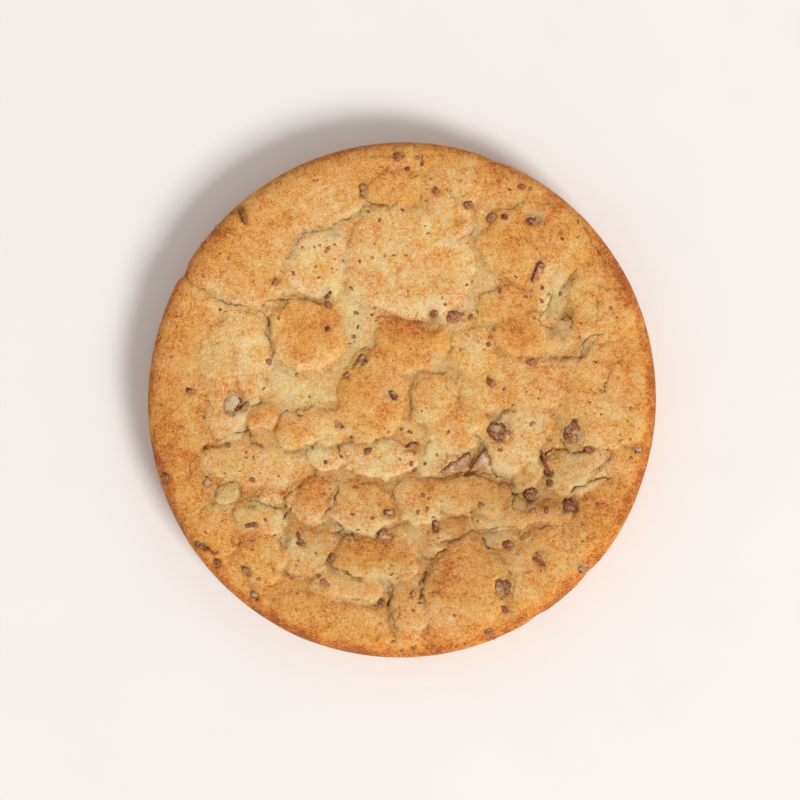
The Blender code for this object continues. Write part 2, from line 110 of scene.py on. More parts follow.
def wander(x, y, size, reach, seed):
    """A smooth wavy shift for places x, y: a sum of a few seeded waves about size long."""
    draw = random.Random(seed)
    total = np.zeros_like(x)
    for _ in range(WAVES):
        heading = draw.uniform(0.0, math.tau)
        pitch = math.tau / (size * draw.uniform(0.7, 1.5))
        phase = draw.uniform(0.0, math.tau)
        total += np.sin(pitch * (x * math.cos(heading) + y * math.sin(heading)) + phase)
    return reach * total / math.sqrt(WAVES)


def in_ellipse(x, y, shape, squareness=2.0):
    """How far out a place lies in an ellipse (0 middle, 1 edge), and how far to the front of it."""
    cx, cy, half_length, half_width, degrees = shape
    c, s = math.cos(math.radians(degrees)), math.sin(math.radians(degrees))
    along = np.abs((x - cx) * c + (y - cy) * s) / half_length
    across = np.abs((y - cy) * c - (x - cx) * s) / half_width
    out = (along**squareness + across**squareness) ** (1.0 / squareness)
    return out, (cy - y) / max(half_length, half_width)


print("a box's corner lies", in_ellipse(2.0, 1.0, (0.0, 0.0, 2.0, 1.0, 0.0))[0].round(2), "out")

# %% [markdown]
# ## Grain
#
# Baked dough is rough at every scale. Value noise stands in for that: random numbers at the corners of a
# lattice, blended smoothly. In three directions it wraps round the rim with no seam. The Displace modifier
# could do it too, but arrays let the same grain shape both the mesh and its colour.

# %% Seeded grain
GRAIN_CELLS = 64  # numbers along the lattice before it repeats
GRAIN_AXIS = Vector((0.5, 0.3, 0.8)).normalized()
SEED_TURN = 0.61  # radians that each seed turns the lattice
SEED_SHIFT = 7.3


def grain(points, size, seed):
    """Smooth random values from -1 to 1 at points (mm) that change over about size mm."""
    table = np.random.default_rng(seed).uniform(-1.0, 1.0, (GRAIN_CELLS,) * 3)
    turned = np.array(Matrix.Rotation(seed * SEED_TURN, 3, GRAIN_AXIS))
    at = points @ turned.T / size + seed * SEED_SHIFT
    cell = np.floor(at).astype(int)
    part = at - cell
    part = part * part * (3.0 - 2.0 * part)
    total = np.zeros(len(points))
    for corner in range(8):
        step = np.array([corner & 1, corner >> 1 & 1, corner >> 2 & 1])
        weight = np.prod(np.where(step, part, 1.0 - part), axis=1)
        i, j, k = ((cell + step) % GRAIN_CELLS).T
        total += weight * table[i, j, k]
    return total


def grains(points, layers):
    """Layers of grain added up. Each has its strength, its size in millimetres and its seed."""
    return sum(strength * grain(points, size, seed) for strength, size, seed in layers)


def wrinkle(points, size, seed):
    """Thin winding lines, 1 on the line and 0 away from it, about size mm apart."""
    return np.clip(1.0 - 5.0 * np.abs(grain(points, size, seed)), 0.0, 1.0)


def on_paper(x, y):
    """Points at x, y with no height, for grain that takes no notice of how high the dough lies."""
    return np.column_stack((x, y, np.zeros_like(x)))


print("grain spans", np.round(grain(np.random.default_rng(0).uniform(0, 90, (2000, 3)), 5.0, 1).std(), 2))

# %% [markdown]
# ## The round of dough
#
# The tin sets the outline: almost a circle, a little oval, with four nicks. The top is a low bed that
# climbs to a ring, and rolls over at the edge. A turned profile would give a perfect round, so a formula
# for the radius at each angle is used instead.

# %% Sizes of the round
MEAN_RADIUS = 128.2
OVAL = 1.1  # the tin's mouth is this much longer one way and shorter across it
OVAL_TURN = math.radians(73.0)
MIDDLE_HEIGHT = 25.6
RING_HEIGHT = 28.6
RING_FROM = 62.0  # from the middle, where the climb to the ring starts
RING_TO = 98.0
ROLL_WIDTH = 10.0
ROLL_DROP = 7.5
WALL_TAPER = 3.6
FOOT_ROUND = 2.4
# Nicks in the edge: angle in degrees from +X, how deep, and half the width in degrees
NICKS = ((149.6, 1.3, 1.6), (69, 0.8, 3), (-58, 0.8, 2), (-42.8, 0.7, 2))


def edge_radius(angle):
    """The outline's radius at an angle, with its nicks."""
    radius = MEAN_RADIUS + OVAL * np.cos(2.0 * (angle - OVAL_TURN))
    for degrees, depth, half_width in NICKS:
        away = np.angle(np.exp(1j * (angle - math.radians(degrees))))
        radius = radius - depth * np.exp(-((away / math.radians(half_width)) ** 2))
    return radius


print("edge radius", np.round(edge_radius(np.array([0.0, OVAL_TURN])), 1), "mm")

# %% [markdown]
# ## Lumps that bake into plates
#
# Each lump is a flat dome: x, y, half length, half width, turn, rise, and how brown its crown bakes, from
# 0 (pale) to 1 (deep orange). Domes could be sculpted, but a table is quicker to adjust against the real
# thing, and it places the colour too.

# %% The table of lumps
LUMPS = (
    (3, 69, 32, 28, 0, 2.4, 0.42), (-42, 68, 14.5, 16.5, 0, 1.7, 0.4), (-48, 32, 19.5, 18.5, 0, 2.4, 0.72),
    (4, 27.5, 20, 13.5, 0, 2.2, 0.82), (-15, 1.5, 16.5, 23, -12, 2, 0.72), (16, 1, 13, 12.5, 0, 2.1, 0.6),
    (66.5, 77.5, 28.5, 20, 5, 2.3, 0.66), (50, 47.5, 13, 8, 10, 1.6, 0.68), (61, 33, 15, 11.5, 0, 1.9, 0.72),
    (101, 50, 18, 20, 0, 1.5, 0.6), (101, 3, 24, 27, 0, 1.5, 0.56), (57, 8, 30, 14, 0, 1.5, 0.55),
    (35, 25, 11, 11, 0, 1.5, 0.6), (-4, 105, 14, 9, 0, 1.3, 0.64), (24, 104, 15, 12, 0, 1, 0.5),
    (-82.5, 17, 17, 23, 0, 1, 0.42), (-87, -9, 11, 10, 30, 1.2, 0.3), (-71, -9, 6.5, 7, 0, 1.8, 0.72),
    (-45, -14, 19, 10, 5, 2.1, 0.62), (-38, -27.5, 8.5, 7.5, 0, 1.6, 0.3),
    (-13, -29, 21, 9.5, -3, 2.3, 0.32), (16, -31, 10, 8, 0, 1.5, 0.28), (26.5, -13, 16, 14, 0, 1.9, 0.58),
    (57, -20, 21, 14, 52, 2.5, 0.36), (62, -35.5, 10, 8.5, 50, 1.7, 0.45),
    (88, -35.5, 17, 10.5, 15, 1.2, 0.42), (102, -60, 21, 17.5, 60, 2, 0.68),
    (32.5, -48, 22, 10.5, -3, 2.9, 0.56), (50, -57.5, 17, 7.5, 8, 1.9, 0.48),
    (70, -56.5, 13, 6.5, 5, 1.5, 0.45), (49, -69, 10, 5, 8, 1.4, 0.25), (74, -80, 26, 19, 35, 1.8, 0.6),
    (31, -93, 20.5, 29, -20, 2.3, 0.66), (3, -105, 8.5, 18, 0, 1.4, 0.5),
    (-13.5, -78.5, 23, 12.5, -5, 2.5, 0.66), (8, -70, 13, 10, 10, 1.5, 0.44), (9, -52, 12, 13, 0, 1.9, 0.4),
    (-21, -54, 19, 13, -8, 2.5, 0.52), (-45.5, -50, 12.5, 11.5, 15, 2.5, 0.64),
    (-66, -48, 8.5, 5.5, 15, 1.1, 0.25), (-73, -32.5, 27, 11.5, -5, 0.8, 0.42),
    (-70, -59, 11.5, 8, 0, 1, 0.42), (-87, -46, 7, 5.5, 0, 1.5, 0.25), (-88, -54, 6.5, 3, 5, 1.6, 0.45),
    (-95, -66, 14, 13, 40, 1.3, 0.62), (-46, -76.5, 14, 11.5, 10, 1.5, 0.4),
    (-71.5, -79, 14, 12, -40, 1.4, 0.6), (-27, -92, 21, 9.5, -5, 1.8, 0.5),
    (-36, -111, 31, 13, -12, 1.6, 0.62),
)
# Hollows between lumps: x, y, half length, half width, turn, how deep
HOLLOWS = (
    (14, 38.5, 8, 6, 0, 1), (77.5, 41, 7.5, 12, -5, 1.6), (85, 27, 8, 7, 0, 1), (-83, -1, 6, 5.5, 30, 1.2),
    (65, 90, 6, 3.5, 0, 1.2),
)
print(len(LUMPS), "lumps and", len(HOLLOWS), "hollows")

# %% [markdown]
# ## Seams
#
# Where two plates parted in the oven there is a seam: a run of places with a depth and a width, which
# presses a soft groove. These are the wide ones, in millimetres.

# %% The wide seams
SEAMS = (
    (((-109, 64), (-100, 56), (-87, 48), (-76, 45), (-67, 41)), 1.3, 1.6),
    (((-67, 41), (-67, 35), (-66, 30), (-65, 22)), 1.4, 1.5),
    (((-70, 48), (-60, 50), (-51, 52), (-40, 50)), 1.2, 1.4),
    (((-56, 72), (-51, 81), (-41, 84), (-32, 88), (-22, 94)), 1.1, 1.6),
    (((35, 96), (35, 84), (28, 80)), 0.9, 1.6),
    (((86, 65), (79, 56), (74, 49), (69, 40), (72, 35)), 1.3, 1.7),
    (((75, 21), (87, 21), (90, 25), (97, 32)), 1.4, 1.6),
    (((37, -17), (42, -25), (45, -35), (53, -41), (55, -47)), 1.5, 1.6),
    (((69, -28), (75, -26), (83, -24), (94, -24)), 1.3, 1.5), (((105, -27), (98, -34), (87, -43)), 1.2, 1.6),
    (((20, -55), (28, -58), (36, -56), (44, -64)), 1.2, 1.5),
    (((19, -71), (32, -66), (41, -70), (52, -82)), 1.3, 1.6), (((57, -76), (66, -65), (75, -63)), 1.2, 1.5),
    (((10, -76), (15, -79), (11, -90), (9, -99)), 1.6, 1.7),
    (((-7, -90), (-6, -98), (-5, -107), (-3, -113)), 2, 1.9),
    (((-31, -100), (-22, -99), (-13, -101)), 1.1, 1.5), (((-38, -80), (-32, -84), (-21, -88)), 1.2, 1.6),
    (((-60, -85), (-52, -87), (-44, -88)), 1.2, 1.5),
    (((-33, -44), (-39, -58), (-34, -66), (-24, -66)), 1.5, 1.7),
    (((-80, -48), (-68, -52), (-58, -54), (-50, -42)), 1.4, 1.6),
    (((-58, -55), (-58.5, -66), (-60, -72)), 1.5, 1.7),
    (((-99, -24), (-85, -17), (-77, -14), (-71, -23)), 1.5, 1.7),
    (((-56, -25), (-45, -22), (-33, -23)), 1.2, 1.6),
)
SEAM_SHARE = 0.6  # of a seam's depth that is left to its soft valley, as a sharp crease takes the rest


def near_run(x, y, places, reach):
    """Which x, y lie near a run of straight stretches, and how far from it those are."""
    xs, ys = zip(*places)
    inside = (x > min(xs) - reach) & (x < max(xs) + reach) & (y > min(ys) - reach) & (y < max(ys) + reach)
    which = np.flatnonzero(inside)
    px, py = x[which], y[which]
    nearest = np.full(len(which), np.inf)
    for (ax, ay), (bx, by) in zip(places, places[1:]):
        dx, dy = bx - ax, by - ay
        t = np.clip(((px - ax) * dx + (py - ay) * dy) / (dx * dx + dy * dy), 0.0, 1.0)
        nearest = np.minimum(nearest, np.hypot(px - ax - t * dx, py - ay - t * dy))
    return which, nearest


print(len(SEAMS), "wide seams")

# %% [markdown]
# ## The bed, and how lumps lean and tear
#
# Under the lumps lies a plain bed, browner towards the ring, where the tin's heat comes first. Lumps in the
# front half slumped forward, so their front edges are the steep ones. Their outlines are torn by grain of
# three sizes, as dough tears and doesn't cut.

# %% Lay the bed
RING_BROWNING = 0.52
BED_BROWNING = 0.42
BED_WAVE = (42.0, 0.3, 3)  # size, reach and seed
LUMP_WAVE = (17.0, 0.9)
TEARS = ((2.4, 8.5), (1.0, 3.2), (0.4, 1.2))  # reach and size of each
FULL_LEAN = 0.6
LEANING = (-30.0, 50.0)  # mm in front of the middle between which the lean grows


def lay_bed(x, y):
    """Height and browning of the plain bed, and how far it has climbed to the ring, from 0 to 1."""
    to_ring = ramp(RING_FROM, RING_TO, np.hypot(x, y))
    height = MIDDLE_HEIGHT + (RING_HEIGHT - MIDDLE_HEIGHT) * to_ring + wander(x, y, *BED_WAVE)
    return height, BED_BROWNING + (RING_BROWNING - BED_BROWNING) * to_ring, to_ring


def torn(flat, seed):
    """A small ragged shift that tears the lumps' outlines, in millimetres."""
    return grains(flat, [(reach, size, seed + k) for k, (reach, size) in enumerate(TEARS)])


bed_height, _, _ = lay_bed(np.array([0.0, 110.0]), np.zeros(2))
print("the bed lies", np.round(bed_height, 1), "mm high")

# %% [markdown]
# ## Height and browning of the top
#
# One function lays the bed, the lumps one by one, the hollows, the seams and the rolled edge. Where a lump
# comes out on top, its colour shows too. Crowns stand nearer the heat, so they brown first, and the sides
# of each lump stay pale.

# %% Lay the top
EVEN_BROWNING = 0.45  # the crowns' own browning is drawn towards this
CROWN_SPREAD = 0.60  # and this share of the difference is left
PALE_FRONT = 0.34  # how much paler the front edge of a lump is
PALE_SEAM = 0.12
LUMP_SQUARENESS = 2.5
LUMP_JOIN = 0.35
OUT_OF_THE_WAY = 0.6  # outside its ellipse, a lump lies this far under the bed


def bowl(out):
    """How deep a bowl of depth 1 is, by how far out a place lies in it. Its root is a flat dome."""
    return np.clip(1.0 - out**3, 0.0, 1.0)


def lay_top(x, y):
    """Height of the baked top over the base at x, y, and its browning from 0 to 1."""
    bed, browning, to_ring = lay_bed(x, y)
    flat = on_paper(x, y)
    wx = x + wander(x, y, *LUMP_WAVE, 11) + torn(flat, 21)
    wy = y + wander(x, y, *LUMP_WAVE, 12) + torn(flat, 24)
    lean = FULL_LEAN * ramp(*LEANING, -y)
    top = bed
    for *shape, rise, crown in LUMPS:
        out, forward = in_ellipse(wx, wy, shape, LUMP_SQUARENESS)
        forward = np.clip(forward, -1.0, 1.0)
        lump = bed + rise * np.sqrt(bowl(out)) * (1.0 + 0.4 * lean + lean * forward)
        lump = lump - OUT_OF_THE_WAY * (out > 1.0)
        shows = ramp(-0.1, 0.5, lump - top)
        front = ramp(0.0, 0.9, forward) * ramp(0.45, 0.95, out) * (0.4 + lean) * (1.0 - 0.8 * to_ring)
        own = EVEN_BROWNING + CROWN_SPREAD * (crown - EVEN_BROWNING) - PALE_FRONT * front
        browning = browning + (own - browning) * shows
        top = smooth_max(top, lump, LUMP_JOIN)
    for *shape, depth in HOLLOWS:
        out, _ = in_ellipse(wx, wy, shape)
        top = top - depth * bowl(out)
    for places, depth, width in SEAMS:
        which, away = near_run(wx, wy, places, 4.0 * width)
        top[which] -= SEAM_SHARE * depth * np.exp(-((away / width) ** 2))
        browning[which] -= PALE_SEAM * np.exp(-((away / (2.0 * width)) ** 2))
    roll = np.clip((np.hypot(x, y) - edge_radius(np.arctan2(y, x)) + ROLL_WIDTH) / ROLL_WIDTH, 0.0, 1.0)
    return top - ROLL_DROP * (1.0 - np.sqrt(1.0 - roll * roll)), browning


heights, _ = lay_top(np.linspace(-120.0, 120.0, 200), np.zeros(200))
print("the top is", heights.min().round(1), "to", heights.max().round(1), "mm high")

# %% [markdown]
# ## Deep creases
#
# Creases draw the plates' edges. Each is a run of picture places. The deep ones opened while the dough was
# soft, and get the darkest painted shadow down in them. They could be cut with the knife tool, but a groove
# pressed along a run keeps the skin in one piece.

# %% The deep creases
DEEP = (
    ((338, 488), (336, 495), (335, 502), (330, 507), (326, 511), (324, 516), (322, 521), (325, 526),
     (329, 530), (333, 533), (338, 531), (344, 530)), ((286, 512), (285, 518), (285, 524), (285, 530)),
    ((387, 580), (391, 583), (392, 590), (391, 596), (389, 602), (388, 605)),
    ((421, 551), (423, 556), (427, 559), (430, 559), (434, 556), (437, 553), (445, 550)),
    ((428, 560), (427, 566), (425, 573), (424, 580), (423, 585), (421, 592), (420, 598)),
    ((541, 456), (548, 452), (553, 449), (560, 449), (565, 448), (569, 452), (574, 453), (583, 451),
     (590, 449)), ((514, 495), (519, 493), (524, 491), (528, 489), (533, 488)),
    ((571, 492), (575, 487), (583, 485), (590, 481), (597, 478), (605, 478), (609, 479)),
    ((494, 474), (499, 477), (504, 480), (508, 483), (510, 489), (512, 494)),
    ((328, 560), (332, 565), (337, 568), (345, 570), (350, 573), (360, 577)),
    ((248, 400), (244, 403), (240, 407), (234, 414)),
    ((482, 538), (484, 543), (488, 546), (492, 548), (496, 549), (496, 552), (499, 556)),
    ((204, 449), (207, 446), (217, 442), (222, 439), (227, 436), (231, 434), (236, 432), (243, 432),
     (247, 430), (248, 426)), ((201, 546), (206, 547), (213, 551), (219, 552)),
)
print(len(DEEP), "deep creases")

# %% [markdown]
# ## Clear creases
#
# These part one plate from the next. They are shallower, and most of the drawing on the top is theirs.

# %% The clear creases
CLEAR = (
    ((187, 272), (190, 283), (197, 286), (203, 289), (213, 297), (220, 301), (228, 304), (240, 304),
     (246, 307), (250, 310), (262, 311), (268, 318)),
    ((268, 317), (269, 322), (268, 328), (266, 333), (269, 339), (271, 347), (272, 355)),
    ((262, 304), (265, 301), (272, 300), (283, 300), (292, 299), (298, 297), (303, 296), (310, 297),
     (318, 299)),
    ((328, 231), (334, 225), (340, 222), (347, 220), (350, 217), (356, 213), (362, 209), (366, 206),
     (372, 206)), ((367, 201), (372, 204), (376, 205), (382, 207), (386, 206), (392, 207), (396, 204)),
    ((583, 228), (588, 233), (590, 240), (592, 246), (597, 250), (600, 255)),
    ((575, 270), (567, 280), (560, 290)),
    ((553, 291), (550, 298), (549, 304), (547, 309), (541, 314), (539, 319), (541, 324), (545, 328),
     (552, 329), (555, 331)), ((565, 297), (566, 305), (565, 311), (568, 317), (571, 322), (571, 328)),
    ((552, 358), (565, 357), (575, 358), (581, 357), (581, 350), (583, 342), (590, 337), (600, 334)),
    ((621, 359), (615, 364), (610, 371), (608, 376), (606, 382), (602, 388), (601, 391)),
    ((487, 415), (495, 416), (502, 413), (507, 409), (514, 404)),
    ((476, 435), (480, 440), (484, 447), (487, 453), (489, 460), (491, 468), (494, 474)),
    ((512, 473), (512, 480), (511, 486)),
    ((543, 432), (545, 435), (547, 439), (543, 445), (541, 450), (540, 456)),
    ((561, 438), (563, 445), (567, 450)),
    ((613, 450), (611, 455), (607, 460), (603, 463), (597, 467), (590, 471)),
    ((514, 497), (512, 503), (513, 507), (518, 511), (523, 513)),
    ((538, 495), (545, 498), (553, 500), (560, 500)), ((525, 506), (526, 500), (530, 501)),
    ((471, 509), (473, 520), (474, 526), (477, 530)),
    ((478, 530), (488, 529), (495, 527), (502, 525), (508, 526), (514, 526), (518, 529), (519, 534),
     (514, 540)), ((521, 534), (525, 532), (530, 530), (535, 528), (540, 526), (552, 526)),
    ((440, 543), (448, 541), (455, 539), (460, 537), (464, 533), (470, 531), (476, 531), (480, 534),
     (482, 538)), ((499, 556), (505, 563)), ((397, 578), (400, 575), (408, 572)),
    ((388, 605), (385, 602), (381, 600), (378, 603), (376, 607)),
    ((390, 612), (393, 615), (394, 620), (395, 627), (398, 630)),
    ((283, 571), (288, 573), (297, 575), (309, 576)), ((313, 571), (317, 566), (322, 563), (327, 562)),
    ((272, 562), (274, 568), (276, 572)), ((351, 531), (354, 536), (358, 540)),
    ((241, 495), (247, 498), (256, 500), (261, 504), (268, 504), (275, 507), (283, 508), (286, 507)),
    ((286, 507), (283, 501), (286, 497), (288, 493), (293, 491), (297, 488), (301, 484), (303, 480)),
    ((311, 480), (313, 475), (315, 470)), ((283, 535), (281, 540), (283, 545)),
    ((219, 487), (224, 485), (230, 482), (237, 481), (240, 485), (241, 490), (242, 494)),
    ((233, 533), (233, 540), (237, 544), (240, 543)),
    ((248, 426), (250, 434), (251, 441), (256, 444), (260, 446)),
    ((298, 449), (305, 447), (312, 445), (317, 442), (320, 440), (326, 440)),
    ((331, 440), (336, 443), (339, 450), (341, 456), (343, 458)),
    ((249, 404), (255, 405), (261, 403), (260, 396)),
    ((435, 478), (445, 479), (456, 477), (466, 476), (478, 474), (488, 473), (494, 474)),
)
print(len(CLEAR), "clear creases")

# %% [markdown]
# ## Fine creases
#
# The fine ones only scratch the crust: splits in the ring, and short cracks where a lump began to lift.

# %% The fine creases
FINE = (
    ((289, 256), (292, 251), (295, 246), (300, 239), (303, 235), (309, 233), (318, 231), (324, 231)),
    ((416, 313), (415, 320), (418, 326), (424, 330), (434, 332), (442, 329), (449, 325)),
    ((408, 418), (411, 413), (410, 405), (410, 397), (412, 390), (418, 382), (424, 378), (432, 375),
     (437, 373), (443, 373), (446, 378), (446, 384), (450, 390), (457, 397), (459, 400)),
    ((450, 352), (449, 362), (447, 368)), ((472, 207), (473, 220), (472, 232), (462, 237), (458, 241)),
    ((441, 511), (447, 515), (453, 517), (460, 516), (466, 516)),
    ((402, 181), (411, 178), (417, 175), (422, 171)), ((371, 157), (380, 157), (392, 157), (396, 160)),
    ((446, 191), (454, 199), (463, 203)), ((485, 205), (489, 214)), ((513, 211), (517, 213)),
    ((521, 238), (527, 242), (533, 243)), ((540, 239), (545, 242), (548, 247)),
    ((592, 283), (600, 286), (606, 289), (615, 290), (624, 290)), ((595, 300), (597, 308), (596, 318)),
    ((508, 309), (512, 306), (520, 304)), ((480, 311), (485, 315), (490, 318)), ((493, 321), (497, 320)),
    ((355, 349), (366, 348), (372, 350)), ((617, 442), (623, 446), (630, 448)), ((641, 450), (650, 448)),
    ((604, 465), (606, 470), (606, 480)), ((561, 519), (562, 525), (561, 530), (561, 537)),
    ((512, 554), (520, 551)), ((565, 549), (573, 548), (580, 545)), ((579, 520), (580, 524), (584, 529)),
    ((339, 600), (345, 599), (352, 598), (358, 598), (365, 600), (376, 603)),
    ((269, 595), (273, 598), (278, 599), (280, 602)), ((300, 521), (305, 524), (312, 524), (320, 522)),
    ((256, 500), (259, 494), (262, 492)), ((221, 509), (226, 510), (232, 508), (236, 506)),
    ((176, 509), (182, 510), (187, 509)), ((190, 463), (191, 470), (192, 477)),
    ((291, 408), (299, 411), (305, 409), (312, 406)), ((262, 376), (266, 379)),
    ((282, 369), (287, 374), (290, 377)), ((234, 350), (235, 357), (236, 362), (237, 366)),
    ((237, 372), (237, 379), (238, 387)), ((155, 404), (163, 404), (167, 408), (172, 409)),
    ((224, 318), (222, 322), (215, 323), (211, 327)), ((212, 345), (222, 343)), ((198, 349), (202, 346)),
    ((289, 223), (292, 220), (297, 218)), ((386, 483), (390, 488), (393, 494), (391, 498)),
    ((392, 501), (395, 504), (398, 508)), ((380, 502), (381, 506)),
    ((424, 444), (425, 448), (425, 453), (421, 459)), ((446, 453), (446, 462)),
    ((385, 442), (395, 445), (405, 446)), ((421, 420), (428, 421)), ((425, 541), (428, 532), (435, 528)),
    ((430, 580), (437, 581), (445, 583)), ((430, 592), (440, 591)), ((518, 573), (524, 572), (530, 568)),
)
print(len(FINE), "fine creases")

# %% [markdown]
# ## Cut the creases
#
# Each strength has its own depth, width and darkness of painted shadow, and a soft fold round it with
# painted shade. A crack in dough never runs evenly, so grain makes it jagged and lets it fade and come back.

# %% Crease marks
# For each strength: runs, depth, width, how dark the painted shadow in the crease goes, and how deep the soft
# fold is round it
CREASES = ((DEEP, 1.1, 0.40, 1.0, 0.32), (CLEAR, 0.65, 0.32, 0.85, 0.22), (FINE, 0.4, 0.28, 0.65, 0.10))
FOLD_WIDTH = 1.6
CORE_SHARE = 0.75  # of a crease's width that gets its dark painted shadow
JAGS_X = ((0.8, 2.6, 31), (0.5, 1.0, 32))
JAGS_Y = ((0.8, 2.6, 33), (0.5, 1.0, 34))
FADES = ((1.0, 3.5, 35), (0.5, 1.1, 39))


def in_mm(run):
    """A run of picture places in millimetres."""
    return [place(across, down) for across, down in run]


def crease_marks(points):
    """How deep the creases cut at points (mm), their painted shadow there, and the painted shade beside them.
    """
    x, y = points[:, 0] + grains(points, JAGS_X), points[:, 1] + grains(points, JAGS_Y)
    patchy = np.clip(0.75 + grains(points, FADES), 0.05, 1.25)
    cut, shadow_in_crease, shaded = np.zeros((3, len(points)))
    for runs, depth, width, darkness, soft in CREASES:
        for run in runs:
            which, away = near_run(x, y, in_mm(run), 3.0 * FOLD_WIDTH)
            fold = np.exp(-((away / FOLD_WIDTH) ** 2))
            groove = depth * np.exp(-((away / width) ** 2))
            core = darkness * np.exp(-((away / (CORE_SHARE * width)) ** 2))
            cut[which] = np.maximum(cut[which], groove * patchy[which] + soft * fold)
            shadow_in_crease[which] = np.maximum(shadow_in_crease[which], core * patchy[which])
            shaded[which] = np.maximum(shaded[which], darkness * fold)
    return cut, shadow_in_crease, shaded


start = np.array([[*place(*DEEP[0][0]), 0.0]])
print("the first starts", crease_marks(start)[0].round(2), "mm deep")

# %% [markdown]
# ## Chocolate chunks and chips: where they lie
#
# The chunks are nodes of the model, and the chips are fused to its round. Both are listed before the
# chocolate is made, as the dough has to open round each.

# %% Tables of chocolate
# Name, x, y, length, width, turn in degrees
CHUNKS = (
    ("chunk_slab", 26.8, -31.4, 21, 8.5, 34), ("chunk_slab_end", 41, -30.6, 11, 4.6, 51),
    ("chunk_ridge", 49, -15, 12, 9, -30), ("chunk_right", 84.5, -15.5, 11, 10, 50),
    ("chunk_seam_right", 82.5, -52.5, 10, 8.5, 20), ("chunk_block", 27, 42, 8.5, 5.5, 5),
    ("chunk_splinter", 67, 64.5, 12, 3.8, 69), ("chunk_pocket", 64.5, 89.5, 7.5, 4, 3),
    ("chunk_long", 71.5, -31.5, 13, 3.4, 112), ("chunk_lower_right", 68.5, -79.5, 9, 6.5, -60),
    ("chunk_low", 51.5, -92, 10, 8, 75), ("chunk_arch", -21, 20.5, 9.5, 4.5, 45),
    ("chunk_upper_left", -79.5, 93, 9, 3.8, 110), ("chunk_top", -19.5, 105, 8, 3.6, 95),
    ("chunk_pale", -83, -1.5, 10, 8, 45), ("chunk_lower_left", -50.5, -69.5, 7.5, 4.8, -60),
    ("chunk_hook", -9.5, -66.5, 7.5, 6, 20),
)
# x, y, length, width, turn in degrees
CHIPS = (
    (64.5, -47, 6.5, 5, -20), (52, -105, 5.5, 4, -40), (53, -71.5, 6, 4, -5), (-4, 2.5, 6, 4.5, -35),
    (-7, -56.5, 6.5, 3.5, 0), (16.5, -62.5, 6, 3, 85), (-75, -63, 7.5, 2.6, 10), (-101, -72.5, 8, 3, -25),
    (44.5, 8.5, 6, 4, -60), (90.5, -83.5, 7, 4, -10), (-97, -39, 5.5, 5, 0), (15.5, 43.5, 4.5, 4, 40),
    (34.5, 41, 3.5, 3, 0), (44.5, 90.5, 6, 3, 40), (51, 91, 3, 3, 0), (-28, 12.5, 4, 3, 40),
    (80.5, 41, 5, 4, 0), (-63.5, 59, 5, 4, 60), (-37, 52.5, 5, 3.5, 45), (5.5, -22.5, 5.5, 3.5, 30),
    (-31.5, -13, 5.5, 3.2, -10), (-37.5, 35.5, 4.5, 4.5, 0), (64.5, 18.5, 5, 2.8, 30), (-74, -94, 5, 4, -50),
    (117, -25, 5, 4, 0), (-105, 4, 6, 3, -10), (-118, -38.5, 4.5, 4, 0), (-77, -85, 4.5, 4, 0),
    (-92.5, -81, 4, 4, 30), (16.5, 104, 4, 3.5, 40), (-2, 121.5, 4.5, 3, 0), (33, 97, 5, 3.5, 10),
    (93, -24.5, 4, 2.6, 0), (73.5, -41.5, 3, 3, 0), (-10.5, -101, 4, 3, 60), (6, -95.5, 4, 4, 0),
    (-38.5, -91, 4, 3.4, -50), (-17, -25.5, 4, 3.4, 80), (43, -115.5, 4, 3.5, 30), (-36.5, 47.5, 3, 3, 0),
    (59.5, 106.5, 4, 2.6, -20), (-35.5, -79.5, 4.5, 3.5, 60),
)
print(len(CHUNKS), "chunks and", len(CHIPS), "chips")

# %% [markdown]
# ## Outlines of the telling pieces
#
# A chopped piece is known by its outline. For a piece at x, y the table gives the tone of its flat top,
# then its corners as picture places, each with the tone of the broken edge from it to the next. Tones go
# from 0 (dark) to 1 (whitish bloom).

